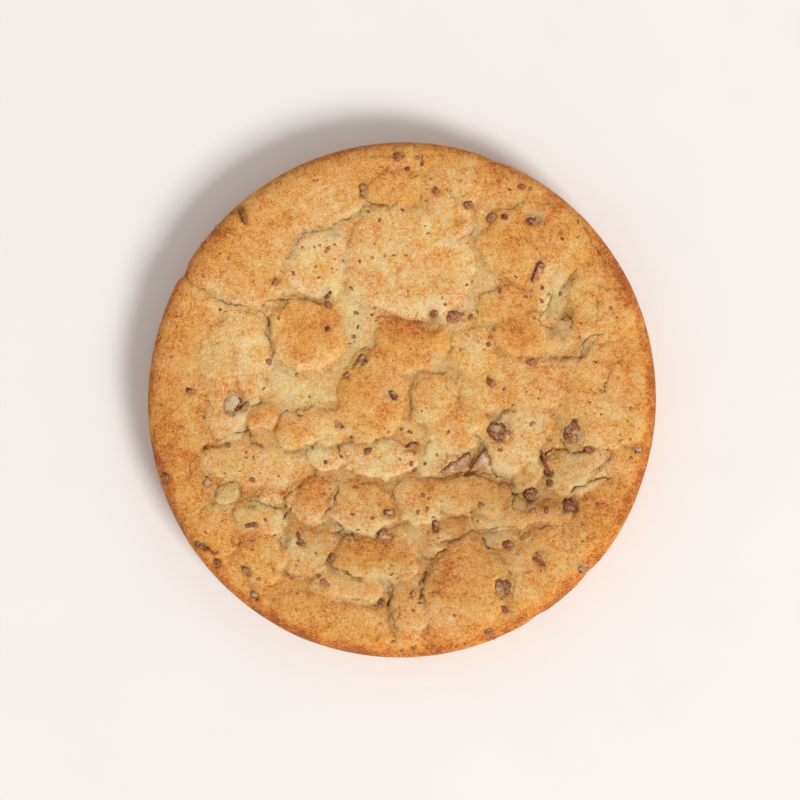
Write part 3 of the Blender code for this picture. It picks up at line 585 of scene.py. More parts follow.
# %% The table of outlines
OUTLINES = {
    (26.8, -31.4): (0.6, (438, 472, 0.3), (447, 464, 0.3), (458, 457, 0.3), (469, 451, 0.3), (473, 453, 0.4),
     (472, 461, 0.5), (466, 470, 0.6), (455, 474, 0.6), (443, 475, 0.4)),
    (41, -30.6): (0.66, (481, 450, 0.2), (487, 449, 0.4), (489, 458, 0.6), (488, 465, 0.7), (479, 469, 0.5),
     (470, 475, 0.2), (466, 474, 0.3), (471, 464, 0.3), (477, 456, 0.3)),
    (49, -15): (0.3, (487, 427, 0.3), (492, 423, 0.3), (498, 421, 0.2), (505, 425, 0.2), (511, 431, 0.3),
     (509, 438, 0.2), (503, 441, 0.2), (493, 441, 0.3), (488, 435, 0.3)),
    (84.5, -15.5): (0.24, (561, 431, 0.2), (566, 425, 0.3), (573, 420, 0.1), (577, 419, 0.1), (581, 430, 0.2),
     (585, 438, 0.3), (578, 443, 0.4), (565, 441, 0.2), (561, 437, 0.1)),
    (82.5, -52.5): (0.16, (561, 499, 0.1), (572, 496, 0), (575, 503, 0.1), (576, 510, 0), (569, 515, 0),
     (562, 514, 0.1), (557, 512, 0.1), (560, 506, 0.1)),
    (27, 42): (0.46, (446, 318, 0.3), (448, 311, 0.4), (463, 311, 0.4), (465, 314, 0.2), (463, 318, 0.3),
     (459, 320, 0.3), (447, 322, 0.3)),
    (67, 64.5): (0.6, (539, 260, 0.1), (543, 264, 0.2), (541, 270, 0.6), (538, 277, 0.5), (532, 284, 0.1),
     (530, 280, 0.1), (534, 270, 0.1), (536, 265, 0.2)),
    (64.5, 89.5): (0.2, (524, 221, 0.1), (528, 218, 0.1), (536, 218, 0.2), (536, 223, 0.1), (530, 225, 0.1)),
    (-19.5, 105): (0.5, (359, 187, 0.5), (361, 184, 0.5), (366, 185, 0.4), (367, 192, 0.5), (365, 198, 0.3),
     (361, 198, 0.3)),
    (71.5, -31.5): (0.3, (540, 449, 0.2), (543, 451, 0.3), (547, 461, 0.2), (551, 473, 0), (550, 476, 0),
     (544, 475, 0), (543, 470, 0.2), (541, 456, 0.3)),
    (68.5, -79.5): (0.34, (531, 558, 0.3), (536, 550, 0.3), (540, 551, 0.4), (545, 562, 0.2), (545, 566, 0.1),
     (541, 565, 0.2)),
    (51.5, -92): (0.22, (495, 578, 0.2), (503, 577, 0.2), (510, 578, 0.1), (513, 581, 0.1), (511, 589, 0.1),
     (507, 596, 0.1), (501, 597, 0.3), (495, 590, 0.3)),
    (-21, 20.5): (0.34, (353, 367, 0.4), (356, 362, 0.4), (363, 351, 0.3), (366, 357, 0.1), (368, 362, 0),
     (362, 366, 0.3)),
    (-79.5, 93): (0.3, (241, 208, 0.2), (244, 207, 0.3), (246, 213, 0.4), (247, 224, 0), (244, 224, 0),
     (239, 213, 0.2)),
    (-83, -1.5): (0.9, (226, 396, 0.9), (233, 391, 0.9), (240, 396, 0.3), (244, 402, 0.1), (239, 409, 0.1),
     (233, 415, 0.3), (226, 412, 0.9), (224, 403, 0.9)),
    (-35.5, -79.5): (0.3, (328, 558, 0.1), (330, 554, 0.4), (334, 553, 0.4), (334, 558, 0.3), (330, 562, 0),
     (327, 561, 0)),
    (6, -95.5): (0.34, (410, 594, 0.3), (412, 589, 0.3), (415, 588, 0.3), (416, 593, 0.4), (412, 596, 0.2)),
    (-4, 2.5): (0.46, (388, 391, 0.2), (392, 390, 0.4), (398, 396, 0), (397, 401, 0), (392, 400, 0.1)),
    (15.5, 43.5): (0.38, (430, 314, 0.3), (433, 310, 0.3), (437, 311, 0.3), (437, 316, 0.2),
     (431, 317, 0.2)),
    (-28, 12.5): (0.4, (343, 376, 0.3), (347, 372, 0.4), (350, 373, 0.4), (347, 378, 0.3)),
    (-37.5, 35.5): (0.36, (325, 328, 0.2), (328, 326, 0.2), (331, 328, 0.3), (330, 332, 0.3),
     (326, 333, 0.1)),
    (-37, 52.5): (0.24, (325, 300, 0.1), (326, 296, 0.2), (331, 291, 0.1), (332, 293, 0.1), (328, 298, 0)),
    (117, -25): (0.7, (632, 451, 0.4), (633, 447, 0.8), (640, 447, 0.8), (641, 452, 0.1), (636, 455, 0)),
    (-74, -94): (0.4, (249, 594, 0.2), (253, 587, 0.1), (258, 592, 0.1), (258, 598, 0.2), (254, 600, 0)),
    (-105, 4): (0.34, (187, 392, 0.2), (188, 388, 0), (192, 389, 0.3), (197, 391, 0.4), (191, 394, 0.2)),
    (-50.5, -69.5): (0.24, (297, 533, 0.2), (299, 531, 0.2), (302, 534, 0.3), (306, 545, 0.3),
     (301, 546, 0.2), (296, 543, 0.2)),
    (-9.5, -66.5): (0.42, (376, 538, 0), (377, 532, 0), (381, 527, 0.2), (385, 528, 0.4), (393, 535, 0.3),
     (390, 539, 0.5), (378, 540, 0.2)),
    (64.5, -47): (0.26, (522, 494, 0.1), (527, 489, 0.2), (533, 487, 0.1), (537, 491, 0.2), (535, 498, 0.1),
     (530, 502, 0), (524, 499, 0.1)),
    (52, -105): (0.34, (501, 605, 0.3), (506, 606, 0.3), (510, 612, 0.1), (505, 613, 0.2), (501, 609, 0.3)),
    (53, -71.5): (0.16, (500, 545, 0.1), (503, 541, 0.2), (508, 539, 0.3), (513, 542, 0.3), (512, 546, 0.1),
     (508, 548, 0.1), (504, 546, 0.1)),
    (-7, -56.5): (0.36, (383, 511, 0), (385, 509, 0.2), (395, 508, 0.3), (396, 513, 0.4), (393, 517, 0),
     (384, 514, 0)),
    (16.5, -62.5): (0.34, (432, 522, 0.3), (434, 520, 0.3), (438, 521, 0.4), (438, 527, 0.2), (437, 531, 0),
     (433, 531, 0.1)),
    (-75, -63): (0.36, (245, 524, 0.1), (248, 523, 0.3), (257, 522, 0.4), (259, 524, 0.3), (257, 526, 0.3),
     (246, 528, 0.2)),
    (-101, -72.5): (0.24, (194, 545, 0), (197, 541, 0.4), (201, 541, 0.2), (209, 549, 0), (203, 548, 0),
     (195, 547, 0)),
    (44.5, 8.5): (0.44, (487, 377, 0.4), (494, 381, 0.4), (495, 385, 0.3), (494, 388, 0.4), (491, 388, 0.4),
     (487, 383, 0.4)),
    (80.5, 41): (0.56, (559, 320, 0.1), (563, 316, 0.5), (566, 315, 0.3), (567, 321, 0.2), (563, 322, 0.4)),
    (-97, -39): (0.4, (203, 485, 0.2), (204, 478, 0.2), (207, 475, 0.1), (210, 474, 0.1), (214, 481, 0.1),
     (210, 486, 0.4)),
    (-63.5, 59): (0.42, (271, 285, 0.1), (272, 281, 0.4), (275, 279, 0.4), (278, 280, 0.4), (277, 284, 0.6),
     (273, 288, 0.2)),
    (5.5, -22.5): (0.26, (404, 449, 0.1), (408, 443, 0.1), (413, 441, 0.1), (418, 443, 0.2), (417, 446, 0.5),
     (410, 450, 0.6)),
    (-31.5, -13): (0.56, (333, 424, 0.5), (337, 423, 0.5), (342, 424, 0.1), (345, 427, 0.1), (341, 429, 0.5),
     (336, 428, 0.4)),
    (90.5, -83.5): (0.62, (576, 566, 0.6), (584, 565, 0.5), (592, 566, 0.2), (588, 571, 0.1), (581, 574, 0),
     (577, 570, 0.4)),
}
print(len(OUTLINES), "pieces have an outline of their own")

# %% [markdown]
# ## Spots on the chocolate
#
# Some faces have paler or darker spots, one of them a painted highlight on the dark piece at the front right,
# and smears of dough still cover others. Both are soft ellipses: picture place, half length, half width,
# turn, how much.

# %% Tone spots and dough film
TONE_SPOTS_AND_HIGHLIGHT = (
    (452, 469, 2.5, 3.5, 0, 0.15), (461, 463, 4, 2, 35, 0.1), (483, 463, 5, 3, 45, 0.2),
    # (570, 508) is a painted highlight on the dark chunk_seam_right
    (485, 459, 3, 6, 20, 0.25), (570, 508, 4, 1.5, 0, 0.35), (540, 272, 2, 5, -20, 0.2),
    (209, 480, 3, 3, 0, 0.2), (228, 398, 3, 4, 0, -0.35), (362, 358, 3, 1.5, 40, 0.5),
    (389, 513, 3, 2, 0, 0.4),
)
FILM_SPOTS = (
    (495, 428, 5.5, 3.5, -20, 0.9), (507, 437, 4, 3.5, 0, 0.8), (568, 427, 5, 2.2, 40, 0.7),
    (573, 434, 2.5, 5.5, -15, 0.9), (581, 436, 4, 8, 0, 1), (498, 589, 4, 8, 25, 0.9),
    (384, 535, 4, 3, 0, 0.7), (389, 538, 3, 2, 0, 0.8), (209, 483, 3, 4, 0, 0.9), (358, 366, 5, 3, 30, 0.9),
    (363, 191, 4, 6, 0, 0.3), (230, 402, 6, 11, 0, 0.7), (255, 594, 3, 3.5, 0, 0.9),
    (393, 393, 2.5, 2, 0, 0.6), (413, 592, 2, 3, 0, 0.5), (392, 511, 3, 4, 0, 0.6), (486, 470, 5, 4, 0, 0.6),
)
print(len(TONE_SPOTS_AND_HIGHLIGHT), "spots of another tone and", len(FILM_SPOTS), "smears of dough")

# %% [markdown]
# ## The slope under each piece
#
# A piece sits square to the dough under it, so the height and slope of the top are measured there once.

# %% Measure the slopes
SLOPE_REACH = 4.0


def slope_at(x, y):
    """Height of the laid top at each place, and its rise per millimetre along x and along y."""
    shift_x, shift_y = SLOPE_REACH * np.array([(0, 1, -1, 0, 0), (0, 0, 0, 1, -1)])[:, :, None]
    heights, _ = lay_top((x + shift_x).ravel(), (y + shift_y).ravel())
    here, east, west, north, south = heights.reshape(5, -1)
    return here, (east - west) / (2.0 * SLOPE_REACH), (north - south) / (2.0 * SLOPE_REACH)


PIECES = [chunk[1:] for chunk in CHUNKS] + list(CHIPS)
piece_x, piece_y = np.array([piece[:2] for piece in PIECES]).T
SLOPES = {piece[:2]: slope for piece, slope in zip(PIECES, zip(*slope_at(piece_x, piece_y)))}
print("the steepest rise is", max(slope[1] for slope in SLOPES.values()).round(2))

# %% [markdown]
# ## How far outside a piece a place lies
#
# The dough opens by its distance from a piece. With an outline, that is the largest distance past any of
# its sides. For a plain chip, an ellipse is near enough.

# %% Distance from a piece
def sides(corners):
    """For an outline round the origin: each side's outward direction, and how far out it lies."""
    along = np.roll(corners, -1, axis=0) - corners
    outward = np.column_stack((along[:, 1], -along[:, 0])) / np.hypot(*along.T)[:, None]
    away = np.sum(outward * corners, axis=1)
    return outward * np.sign(away)[:, None], np.abs(away)


def outline_of(x, y):
    """The middle of an outline in millimetres, and its corners from there."""
    corners = np.array([place(across, down) for across, down, _ in OUTLINES[x, y][1:]])
    middle = corners.mean(axis=0)
    return middle, corners - middle


def beyond_piece(x, y, piece):
    """How far outside a piece's outline places lie, in millimetres; less than 0 inside it."""
    px, py, length, width, turn = piece
    if (px, py) in OUTLINES:
        middle, corners = outline_of(px, py)
        outward, away = sides(corners)
        return np.max((np.column_stack((x, y)) - middle) @ outward.T - away, axis=1)
    out, _ = in_ellipse(x, y, (px, py, length / 2.0, width / 2.0, turn))
    return (out - 1.0) * 0.5 * math.sqrt(length * width)


slab = CHUNKS[0][1:]
print("the slab's middle is", beyond_piece(piece_x[:1], piece_y[:1], slab).round(1), "mm outside it")

# %% [markdown]
# ## Pockets for the chocolate
#
# Dough laps a little over a piece's edge. Under the piece it is drawn down to the piece's own plane, with
# crumbs left standing. A boolean cut would leave a clean hole that no dough has.

# %% Open the dough round the chocolate
CHUNK_POCKET = (0.8, 0.9)  # width of the lip, and how deep a crumb may sink
CHIP_POCKET = (0.6, 0.5)
POCKET_SEARCH = 16.0  # mm from a piece's middle within which its pocket ends
POCKET_CRUMBS = ((1.4, 4.5, 37), (0.9, 1.6, 38))
CRUMBS_LIE = -0.25  # mm over the piece's plane
HIGHEST_CRUMB = 0.4
RAGGED_LIP = (0.3, 3.0, 36)


def pocket(x, y, z, piece, lip, sink):
    """The dough's height z once it has opened round a piece of chocolate."""
    px, py, *_ = piece
    which = np.flatnonzero(np.hypot(x - px, y - py) < POCKET_SEARCH)
    beyond = beyond_piece(x[which], y[which], piece)
    which, beyond = which[beyond < 2.0 * lip], beyond[beyond < 2.0 * lip]
    flat = on_paper(x[which], y[which])
    here, along_x, along_y = SLOPES[px, py]
    plane = here + along_x * (x[which] - px) + along_y * (y[which] - py)
    inside = 1.0 - ramp(0.3 * lip, 1.6 * lip, beyond + lip * grains(flat, [RAGGED_LIP]))
    level = np.clip(grains(flat, POCKET_CRUMBS) + CRUMBS_LIE, -sink, HIGHEST_CRUMB)
    z[which] += (np.minimum(z[which], plane) + level - z[which]) * inside
    return z


opened = pocket(piece_x[:1], piece_y[:1], np.array([40.0]), slab, *CHUNK_POCKET)
print("dough over the slab is drawn down to", opened.round(1), "mm")

# %% [markdown]
# ## Crackled places
#
# In some places the skin set early and crackled: picture place, half length, half width, turn.

# %% Where the crust crackled
CRACKLED = (
    (395, 191, 24, 15, 0), (461, 344, 12, 13, 0), (532, 360, 17, 12, 0), (337, 333, 10, 10, 0),
    (351, 300, 8, 18, 0), (322, 461, 11, 9, 0), (236, 365, 8, 24, 0), (490, 347, 10, 10, 0),
    (205, 348, 14, 12, 30), (232, 470, 18, 12, 0), (412, 607, 18, 8, 0), (515, 182, 22, 12, -25),
    (645, 345, 10, 22, 0), (330, 575, 18, 12, 0), (372, 478, 26, 6, 0),
)


def crackled(x, y):
    """How crackled the crust is at x, y, from 0 to 1."""
    total = np.zeros_like(x)
    for row in CRACKLED:
        out, _ = in_ellipse(x, y, picture_ellipse(*row))
        total = np.maximum(total, 1.0 - ramp(0.6, 1.3, out))
    return total


print(len(CRACKLED), "crackled places")

# %% [markdown]
# ## Crumb, crackle and pores
#
# On top comes what the oven does to a surface: a soft unevenness over a centimetre, crumb of about a
# millimetre, the crackled places, and pin-sized pores where steam came out.

# %% The fine relief of the top
SOFT_RELIEF = ((0.26, 11.0, 41), (0.20, 5.0, 42), (0.11, 2.4, 43))
FINE_RELIEF = (0.09, 1.2, 44)
CALMER_RING = 0.45  # the ring's soft relief is this much lower
PORES = (1.3, 45)  # size and seed
PORE_DEPTH = 0.9


def crumb(points, rough):
    """Small ups and downs of baked dough at points (mm)."""
    inner = 1.0 - CALMER_RING * ramp(RING_FROM, RING_TO, np.hypot(points[:, 0], points[:, 1]))
    pores = np.clip(grain(points, *PORES) - 0.5, 0.0, 1.0)
    crackle = 0.3 * wrinkle(points, 2.6, 46) - 0.25 * grain(points, 1.4, 47)
    relief = grains(points, SOFT_RELIEF) * inner + grains(points, [FINE_RELIEF])
    return relief - PORE_DEPTH * pores - rough * crackle


def top_surface(x, y):
    """The finished top over the base at x, y, with creases, pockets and crumb."""
    flat = on_paper(x, y)
    z, _ = lay_top(x, y)
    cut, _, _ = crease_marks(flat)
    z = z - cut
    for number, piece in enumerate(PIECES):
        z = pocket(x, y, z, piece, *(CHUNK_POCKET if number < len(CHUNKS) else CHIP_POCKET))
    return z + crumb(flat, crackled(x, y))


sample = np.random.default_rng(1).uniform(0.0, 99.0, (999, 3))
print("crumb is about", crumb(sample, 0.0).std().round(2), "mm")

# %% [markdown]
# ## A skin of rings
#
# The round's skin is rings of points, from the middle of the top out to the edge, down the wall and in
# under the base. On the top, ring k has 6k points, which keeps the spacing even. One function zips any two
# rings together with triangles, whatever their counts.

# %% Zip two rings
def ring_angles(count):
    return np.arange(count) * math.tau / count


def circle(radius, angle):
    """x and y of points at a radius and angle."""
    return radius * np.cos(angle), radius * np.sin(angle)


def zip_rings(first, first_count, second, second_count):
    """Triangles between two rings, given each one's first point number and its count."""
    outward = second_count >= first_count
    fine, many = (second, second_count) if outward else (first, first_count)
    coarse, few = (first, first_count) if outward else (second, second_count)
    i = np.arange(many)
    after = (i + 1) % many
    partner = ((i + 0.5) * few / many).astype(int) % few
    wide = np.column_stack((fine + i, fine + after, coarse + partner))
    turns = partner != partner[after]
    narrow = np.column_stack((coarse + partner, fine + after, coarse + partner[after]))[turns]
    triangles = np.vstack((wide, narrow))
    return triangles if outward else triangles[:, ::-1]


print("a ring of 6 in a ring of 12 takes", len(zip_rings(0, 6, 6, 12)), "triangles")

# %% [markdown]
# ## Rings of the top
#
# Even rings cover the top. The roll turns down ever more steeply, so its rings are spaced by its lean.

# %% Rings from the middle to the edge
TOP_RINGS = 310
LAST_STEP = 0.9  # share of the roll where the even rings stop and the steep ones start
ROLL_RINGS = 9


def top_rings():
    """The top's rings as a list of (points, 3) arrays in millimetres."""
    rings = []
    for k in range(TOP_RINGS + 1):
        angle = ring_angles(max(1, 6 * k))
        rings.append(circle((edge_radius(angle) - ROLL_WIDTH * (1.0 - LAST_STEP)) * k / TOP_RINGS, angle))
    angle = ring_angles(6 * TOP_RINGS)
    first = math.asin(LAST_STEP)
    for k in range(1, ROLL_RINGS + 1):
        lean = first + (math.pi / 2.0 - first) * k / ROLL_RINGS
        rings.append(circle(edge_radius(angle) - ROLL_WIDTH * (1.0 - math.sin(lean)), angle))
    counts = [len(x) for x, _ in rings]
    x, y = (np.concatenate(both) for both in zip(*rings))
    return np.split(np.column_stack((x, y, top_surface(x, y))), np.cumsum(counts)[:-1])


rings = top_rings()
print(len(rings), "rings on top")

# %% [markdown]
# ## The wall
#
# The wall took its shape from the tin: it leans in towards a rounded foot. Against the metal it bakes firm,
# with shallow pits where air was caught, so its relief points outwards, not up.

# %% Rings down the wall
WALL_RINGS = 44
WALL_RELIEF = ((0.30, 9.0, 51), (0.14, 3.5, 52), (0.06, 1.4, 53))
WALL_PITS = (2.2, 54)
PIT_DEPTH = 1.1


def wall_relief(points):
    """How far the wall stands out at points (mm), with its caught-air pits."""
    return grains(points, WALL_RELIEF) - PIT_DEPTH * np.clip(grain(points, *WALL_PITS) - 0.4, 0.0, 1.0)


def wall_rings(rim):
    """The wall's rings, from the heights of the rim down to the foot."""
    angle = ring_angles(len(rim))
    rings = []
    for k in range(1, WALL_RINGS + 1):
        down = k / WALL_RINGS
        z = rim * (1.0 - down)
        foot = np.clip(1.0 - z / FOOT_ROUND, 0.0, 1.0)
        radius = edge_radius(angle) - WALL_TAPER * down - FOOT_ROUND * (1.0 - np.sqrt(1.0 - foot * foot))
        relief = wall_relief(np.column_stack((*circle(radius, angle), z)))
        radius = radius + relief * ramp(0.0, 0.12, np.full_like(z, down)) * ramp(0.2, 2.0, z)
        rings.append(np.column_stack((*circle(radius, angle), z)))
    return rings


rings += wall_rings(rings[-1][:, 2])
print("the foot lies", np.hypot(*rings[-1][0, :2]).round(1), "mm from the middle")

# %% [markdown]
# ## The base
#
# The base lay on the tin. It is flat, with a few shallow pits, and its rings close the skin.

# %% Rings under the base
BASE_RINGS = 60
BASE_PITS = (3.0, 55)
BASE_MARGIN = 4.0  # mm at the foot that the pits leave flat


def base_rings():
    """The base's rings, from the foot in to the middle."""
    around = ring_angles(6 * TOP_RINGS)
    foot_edge = edge_radius(around) - WALL_TAPER - FOOT_ROUND
    rings = []
    for k in range(1, BASE_RINGS + 1):
        share = 1.0 - k / BASE_RINGS
        angle = ring_angles(max(1, round(6 * TOP_RINGS * share)))
        radius = share * np.interp(angle, around, foot_edge, period=math.tau)
        under = on_paper(*circle(radius, angle))
        pits = 0.5 * np.clip(grain(under, *BASE_PITS) - 0.35, 0.0, 1.0)
        under[:, 2] = pits * ramp(0.0, BASE_MARGIN, radius * (1.0 / max(share, 0.01) - 1.0))
        rings.append(under)
    return rings


rings += base_rings()
print(len(rings), "rings,", sum(len(r) for r in rings), "points")

# %% [markdown]
# ## From arrays to a mesh
#
# Blender takes whole arrays of points and triangles at once, much faster than faces one by one. Values per
# point, such as browning, go along as attributes for the material to read.

# %% Make a mesh from arrays
def mesh_from_arrays(name, points, triangles):
    """A new object at the origin from points in millimetres and triangles of point numbers."""
    mesh = bpy.data.meshes.new(name)
    mesh.vertices.add(len(points))
    mesh.vertices.foreach_set("co", (points * MM).astype(np.float32).ravel())
    mesh.loops.add(3 * len(triangles))
    mesh.loops.foreach_set("vertex_index", triangles.astype(np.int32).ravel())
    mesh.polygons.add(len(triangles))
    mesh.polygons.foreach_set("loop_start", np.arange(0, 3 * len(triangles), 3, dtype=np.int32))
    mesh.update(calc_edges=True)
    mesh.shade_smooth()
    thing = bpy.data.objects.new(name, mesh)
    bpy.context.scene.collection.objects.link(thing)
    return thing


def set_attributes(thing, **values):
    """Gives an object's points their own values, by name."""
    for name, numbers in values.items():
        spot = thing.data.attributes.new(name, "FLOAT", "POINT")
        spot.data.foreach_set("value", numbers.astype(np.float32))


counts = [len(ring) for ring in rings]
starts = np.cumsum([0] + counts)
strips = [zip_rings(starts[k], counts[k], starts[k + 1], counts[k + 1]) for k in range(len(rings) - 1)]
crust = mesh_from_arrays("crust", np.vstack(rings), np.vstack(strips))
print("the whole skin has", len(crust.data.polygons), "triangles")

# %% [markdown]
# ## Thin the skin where it is smooth
#
# The smooth ring and the flat base need fewer triangles than the rings give. Decimate merges those, and a
# vertex group makes it spare the creases.

# %% Mark the creases to be spared
CRUST_TRIANGLES = 192000
SPARED = 0.9  # mm to each side of a crease where the skin keeps all its triangles


def points_of(thing):
    """An object's own points in millimetres."""
    flat = np.empty(3 * len(thing.data.vertices), np.float32)
    thing.data.vertices.foreach_get("co", flat)
    return flat.reshape(-1, 3).astype(float) / MM


def spare_creases(thing, modifier):
    """Keeps a modifier away from the points beside the creases, and counts those points."""
    x, y, _ = points_of(thing).T
    spared = np.zeros(len(x), bool)
    for run in DEEP + CLEAR + FINE:
        which, away = near_run(x, y, in_mm(run), SPARED)
        spared[which[away < SPARED]] = True
    group = thing.vertex_groups.new(name="creases")
    group.add(np.flatnonzero(spared).tolist(), 1.0, "REPLACE")
    modifier.vertex_group = group.name
    modifier.invert_vertex_group = True
    return spared.sum()


thin = crust.modifiers.new("thin", "DECIMATE")
thin.ratio = CRUST_TRIANGLES / len(crust.data.polygons)
print("spared points:", spare_creases(crust, thin))

# %% [markdown]
# ## Keep the thinned skin
#
# The thinned mesh is kept as it is, so that values can be set on its points, and the full one goes.

# %% Thin the crust
def settle(thing):
    """Replaces an object's mesh with what its modifiers make of it."""
    evaluated = thing.evaluated_get(bpy.context.evaluated_depsgraph_get())
    thinned = bpy.data.meshes.new_from_object(evaluated)
    full = thing.data
    thing.modifiers.clear()
    thing.vertex_groups.clear()
    thing.data = thinned
    bpy.data.meshes.remove(full)
    thing.data.name = thing.name
    thing.data.shade_smooth()


settle(crust)
print("crust has", len(crust.data.polygons), "triangles")

# %% [markdown]
# ## Where the crust is brown and where it is pale
#
# Browning tells most about a baked crust. It follows the lumps' crowns, deepens towards the rim, and has
# its own accidents. Noise would scatter those anywhere, so they are listed as soft patches: picture place,
# half length, half width, turn, and how much browner (or paler). The last few also paint light and shade,
# to even out the lamp.

# %% Patches of browner and paler crust
BROWNING_AND_LIGHT_PATCHES = (
    # Top left
    (300, 262, 26, 18, 60, -0.2), (300, 288, 25, 8, 0, -0.3), (326, 265, 9, 22, 0, 0.18),
    (240, 288, 42, 12, -25, -0.15), (200, 262, 12, 44, -35, 0.14), (334, 236, 14, 8, 20, -0.35),
    (320, 208, 30, 14, 30, -0.2), (252, 194, 12, 3, 35, -0.3), (270, 240, 30, 22, 40, 0.05),
    # Top
    (350, 217, 26, 5, 32, -0.3), (357, 232, 11, 12, 0, 0.18), (399, 246, 24, 11, 30, -0.22),
    (385, 275, 40, 22, 0, -0.1), (395, 304, 38, 12, 0, -0.28), (395, 190, 28, 14, 0, 0.14),
    (462, 182, 16, 20, 0, -0.2), (470, 250, 9, 34, 0, -0.3), (448, 244, 10, 6, 15, -0.45),
    (452, 268, 13, 18, 0, 0.1), (487, 275, 12, 26, -10, -0.2), (450, 308, 30, 13, 8, -0.3),
    (420, 158, 30, 8, 0, 0.12),
    # Top right
    (512, 236, 26, 16, -10, 0.22), (572, 250, 34, 7, 38, -0.22), (585, 268, 28, 6, 40, 0.1),
    (606, 262, 12, 34, 35, 0.12), (553, 285, 15, 22, 20, -0.32), (515, 302, 22, 7, -15, 0.12),
    (517, 332, 26, 15, 0, 0.22), (545, 308, 12, 7, 30, -0.25), (558, 320, 13, 26, 0, -0.3),
    (590, 330, 10, 16, -25, -0.12), (612, 310, 12, 8, 0, -0.15), (520, 188, 22, 10, -30, 0.16),
    (545, 215, 24, 14, 0, 0.06), (497, 205, 28, 9, 0, -0.14),
    # Left
    (243, 345, 22, 34, 0, -0.18), (312, 325, 26, 22, 0, 0.16), (285, 382, 14, 32, 12, -0.32),
    (320, 360, 28, 12, 15, -0.22), (312, 392, 16, 10, 0, -0.25), (228, 418, 22, 14, -20, -0.12),
    (233, 403, 9, 9, 0, -0.2), (257, 416, 12, 12, 0, -0.06), (300, 430, 20, 11, -10, 0.18),
    (290, 411, 20, 6, 20, -0.24), (325, 428, 16, 14, 0, -0.32), (325, 452, 22, 10, -10, -0.24),
    (320, 491, 26, 12, 0, 0.22), (265, 490, 24, 11, 25, -0.05), (230, 497, 13, 9, 0, -0.1),
    (164, 440, 10, 60, -12, 0.16), (232, 450, 26, 9, 15, -0.05),
    # Middle
    (397, 329, 22, 13, 0, 0.22), (430, 345, 22, 10, 0, 0.08), (356, 324, 13, 24, 0, -0.4),
    (358, 388, 26, 9, 0, 0.16), (434, 362, 9, 14, 0, -0.36), (475, 341, 12, 10, 0, -0.32),
    (457, 415, 18, 10, 0, 0.16), (427, 412, 14, 12, 0, -0.22), (392, 461, 48, 13, 0, -0.24),
    (355, 480, 60, 5, 0, 0.1), (393, 390, 9, 10, 0, -0.28), (470, 462, 14, 14, 0, -0.24),
    # Lower middle
    (455, 504, 18, 6, -5, -0.34), (360, 527, 26, 7, -3, -0.28), (312, 513, 20, 9, -8, -0.28),
    (303, 548, 34, 12, 0, -0.2), (380, 549, 24, 12, 0, 0.2), (365, 573, 32, 7, -8, -0.22),
    (415, 515, 22, 14, 0, -0.12), (455, 565, 32, 24, 15, 0.14), (390, 584, 8, 12, 0, -0.45),
    (368, 600, 28, 5, 0, -0.18), (430, 545, 12, 9, 0, -0.16), (455, 622, 14, 11, 0, -0.18),
    (410, 588, 14, 24, 0, -0.08),
    # Lower right
    (522, 458, 26, 15, 30, -0.14), (580, 481, 34, 8, 14, -0.14), (607, 462, 6, 13, 0, -0.3),
    (600, 502, 24, 15, -10, 0.16), (622, 470, 14, 10, 0, -0.16), (641, 480, 8, 32, -10, 0.24),
    (500, 537, 20, 8, 5, -0.12), (545, 540, 26, 8, 12, 0.12), (590, 545, 26, 24, -40, -0.06),
    (535, 612, 32, 12, 35, 0.12), (620, 425, 22, 26, 0, -0.1), (520, 415, 24, 16, 0, -0.2),
    (568, 385, 24, 20, 0, 0.08),
    # Lower left
    (255, 535, 22, 10, 5, 0.08), (240, 600, 10, 42, 50, 0.12), (300, 592, 40, 12, -15, 0.08),
    (255, 562, 32, 20, -25, 0.04), (165, 465, 22, 60, 0, 0.08), (280, 620, 40, 16, -30, 0.05),
    # Evening out: partly browning, partly painted light and shade against the lamp. The back of the rim and
    # the place at (235, 300) are painted paler against their shade, the place at (480, 540) darker against
    # light
    (565, 565, 30, 24, -30, -0.09), (480, 540, 30, 60, 0, 0.04), (470, 165, 60, 16, 15, -0.08),
    (235, 300, 26, 26, 0, -0.06), (178, 430, 26, 90, 0, 0.08), (225, 430, 40, 50, 0, 0.08),
    (440, 500, 44, 34, 0, 0.05), (640, 330, 20, 70, 0, -0.05), (565, 198, 56, 34, 35, -0.1),
    (625, 490, 26, 40, 0, -0.08), (575, 560, 40, 26, -35, -0.09), (235, 365, 34, 34, 0, -0.07),
    (370, 367, 38, 30, 0, -0.07), (370, 300, 36, 30, 0, 0.07), (630, 365, 24, 34, 0, 0.06),
    (530, 598, 52, 26, -32, -0.1),
)
PATCH_STRENGTH = 0.6
PATCH_FALL = 0.9
PATCH_FLATNESS = 2.5


def soft_patches(x, y, table):
    """The sum of a table's soft patches at x, y (mm)."""
    total = np.zeros_like(x)
    for *shape, change in table:
        out, _ = in_ellipse(x, y, picture_ellipse(*shape))
        total += change * np.exp(-PATCH_FALL * out**PATCH_FLATNESS)
    return total


print(len(BROWNING_AND_LIGHT_PATCHES), "patches")

# %% [markdown]
# ## Caught rim, dull dough and shaded hollows
#
# Three more tables of the same kind: places at the rim that caught and went dark, shielded dough that
# hardly baked, and low places between the golden plates that get painted shade, partly also the dull tan of
# dough that baked less.

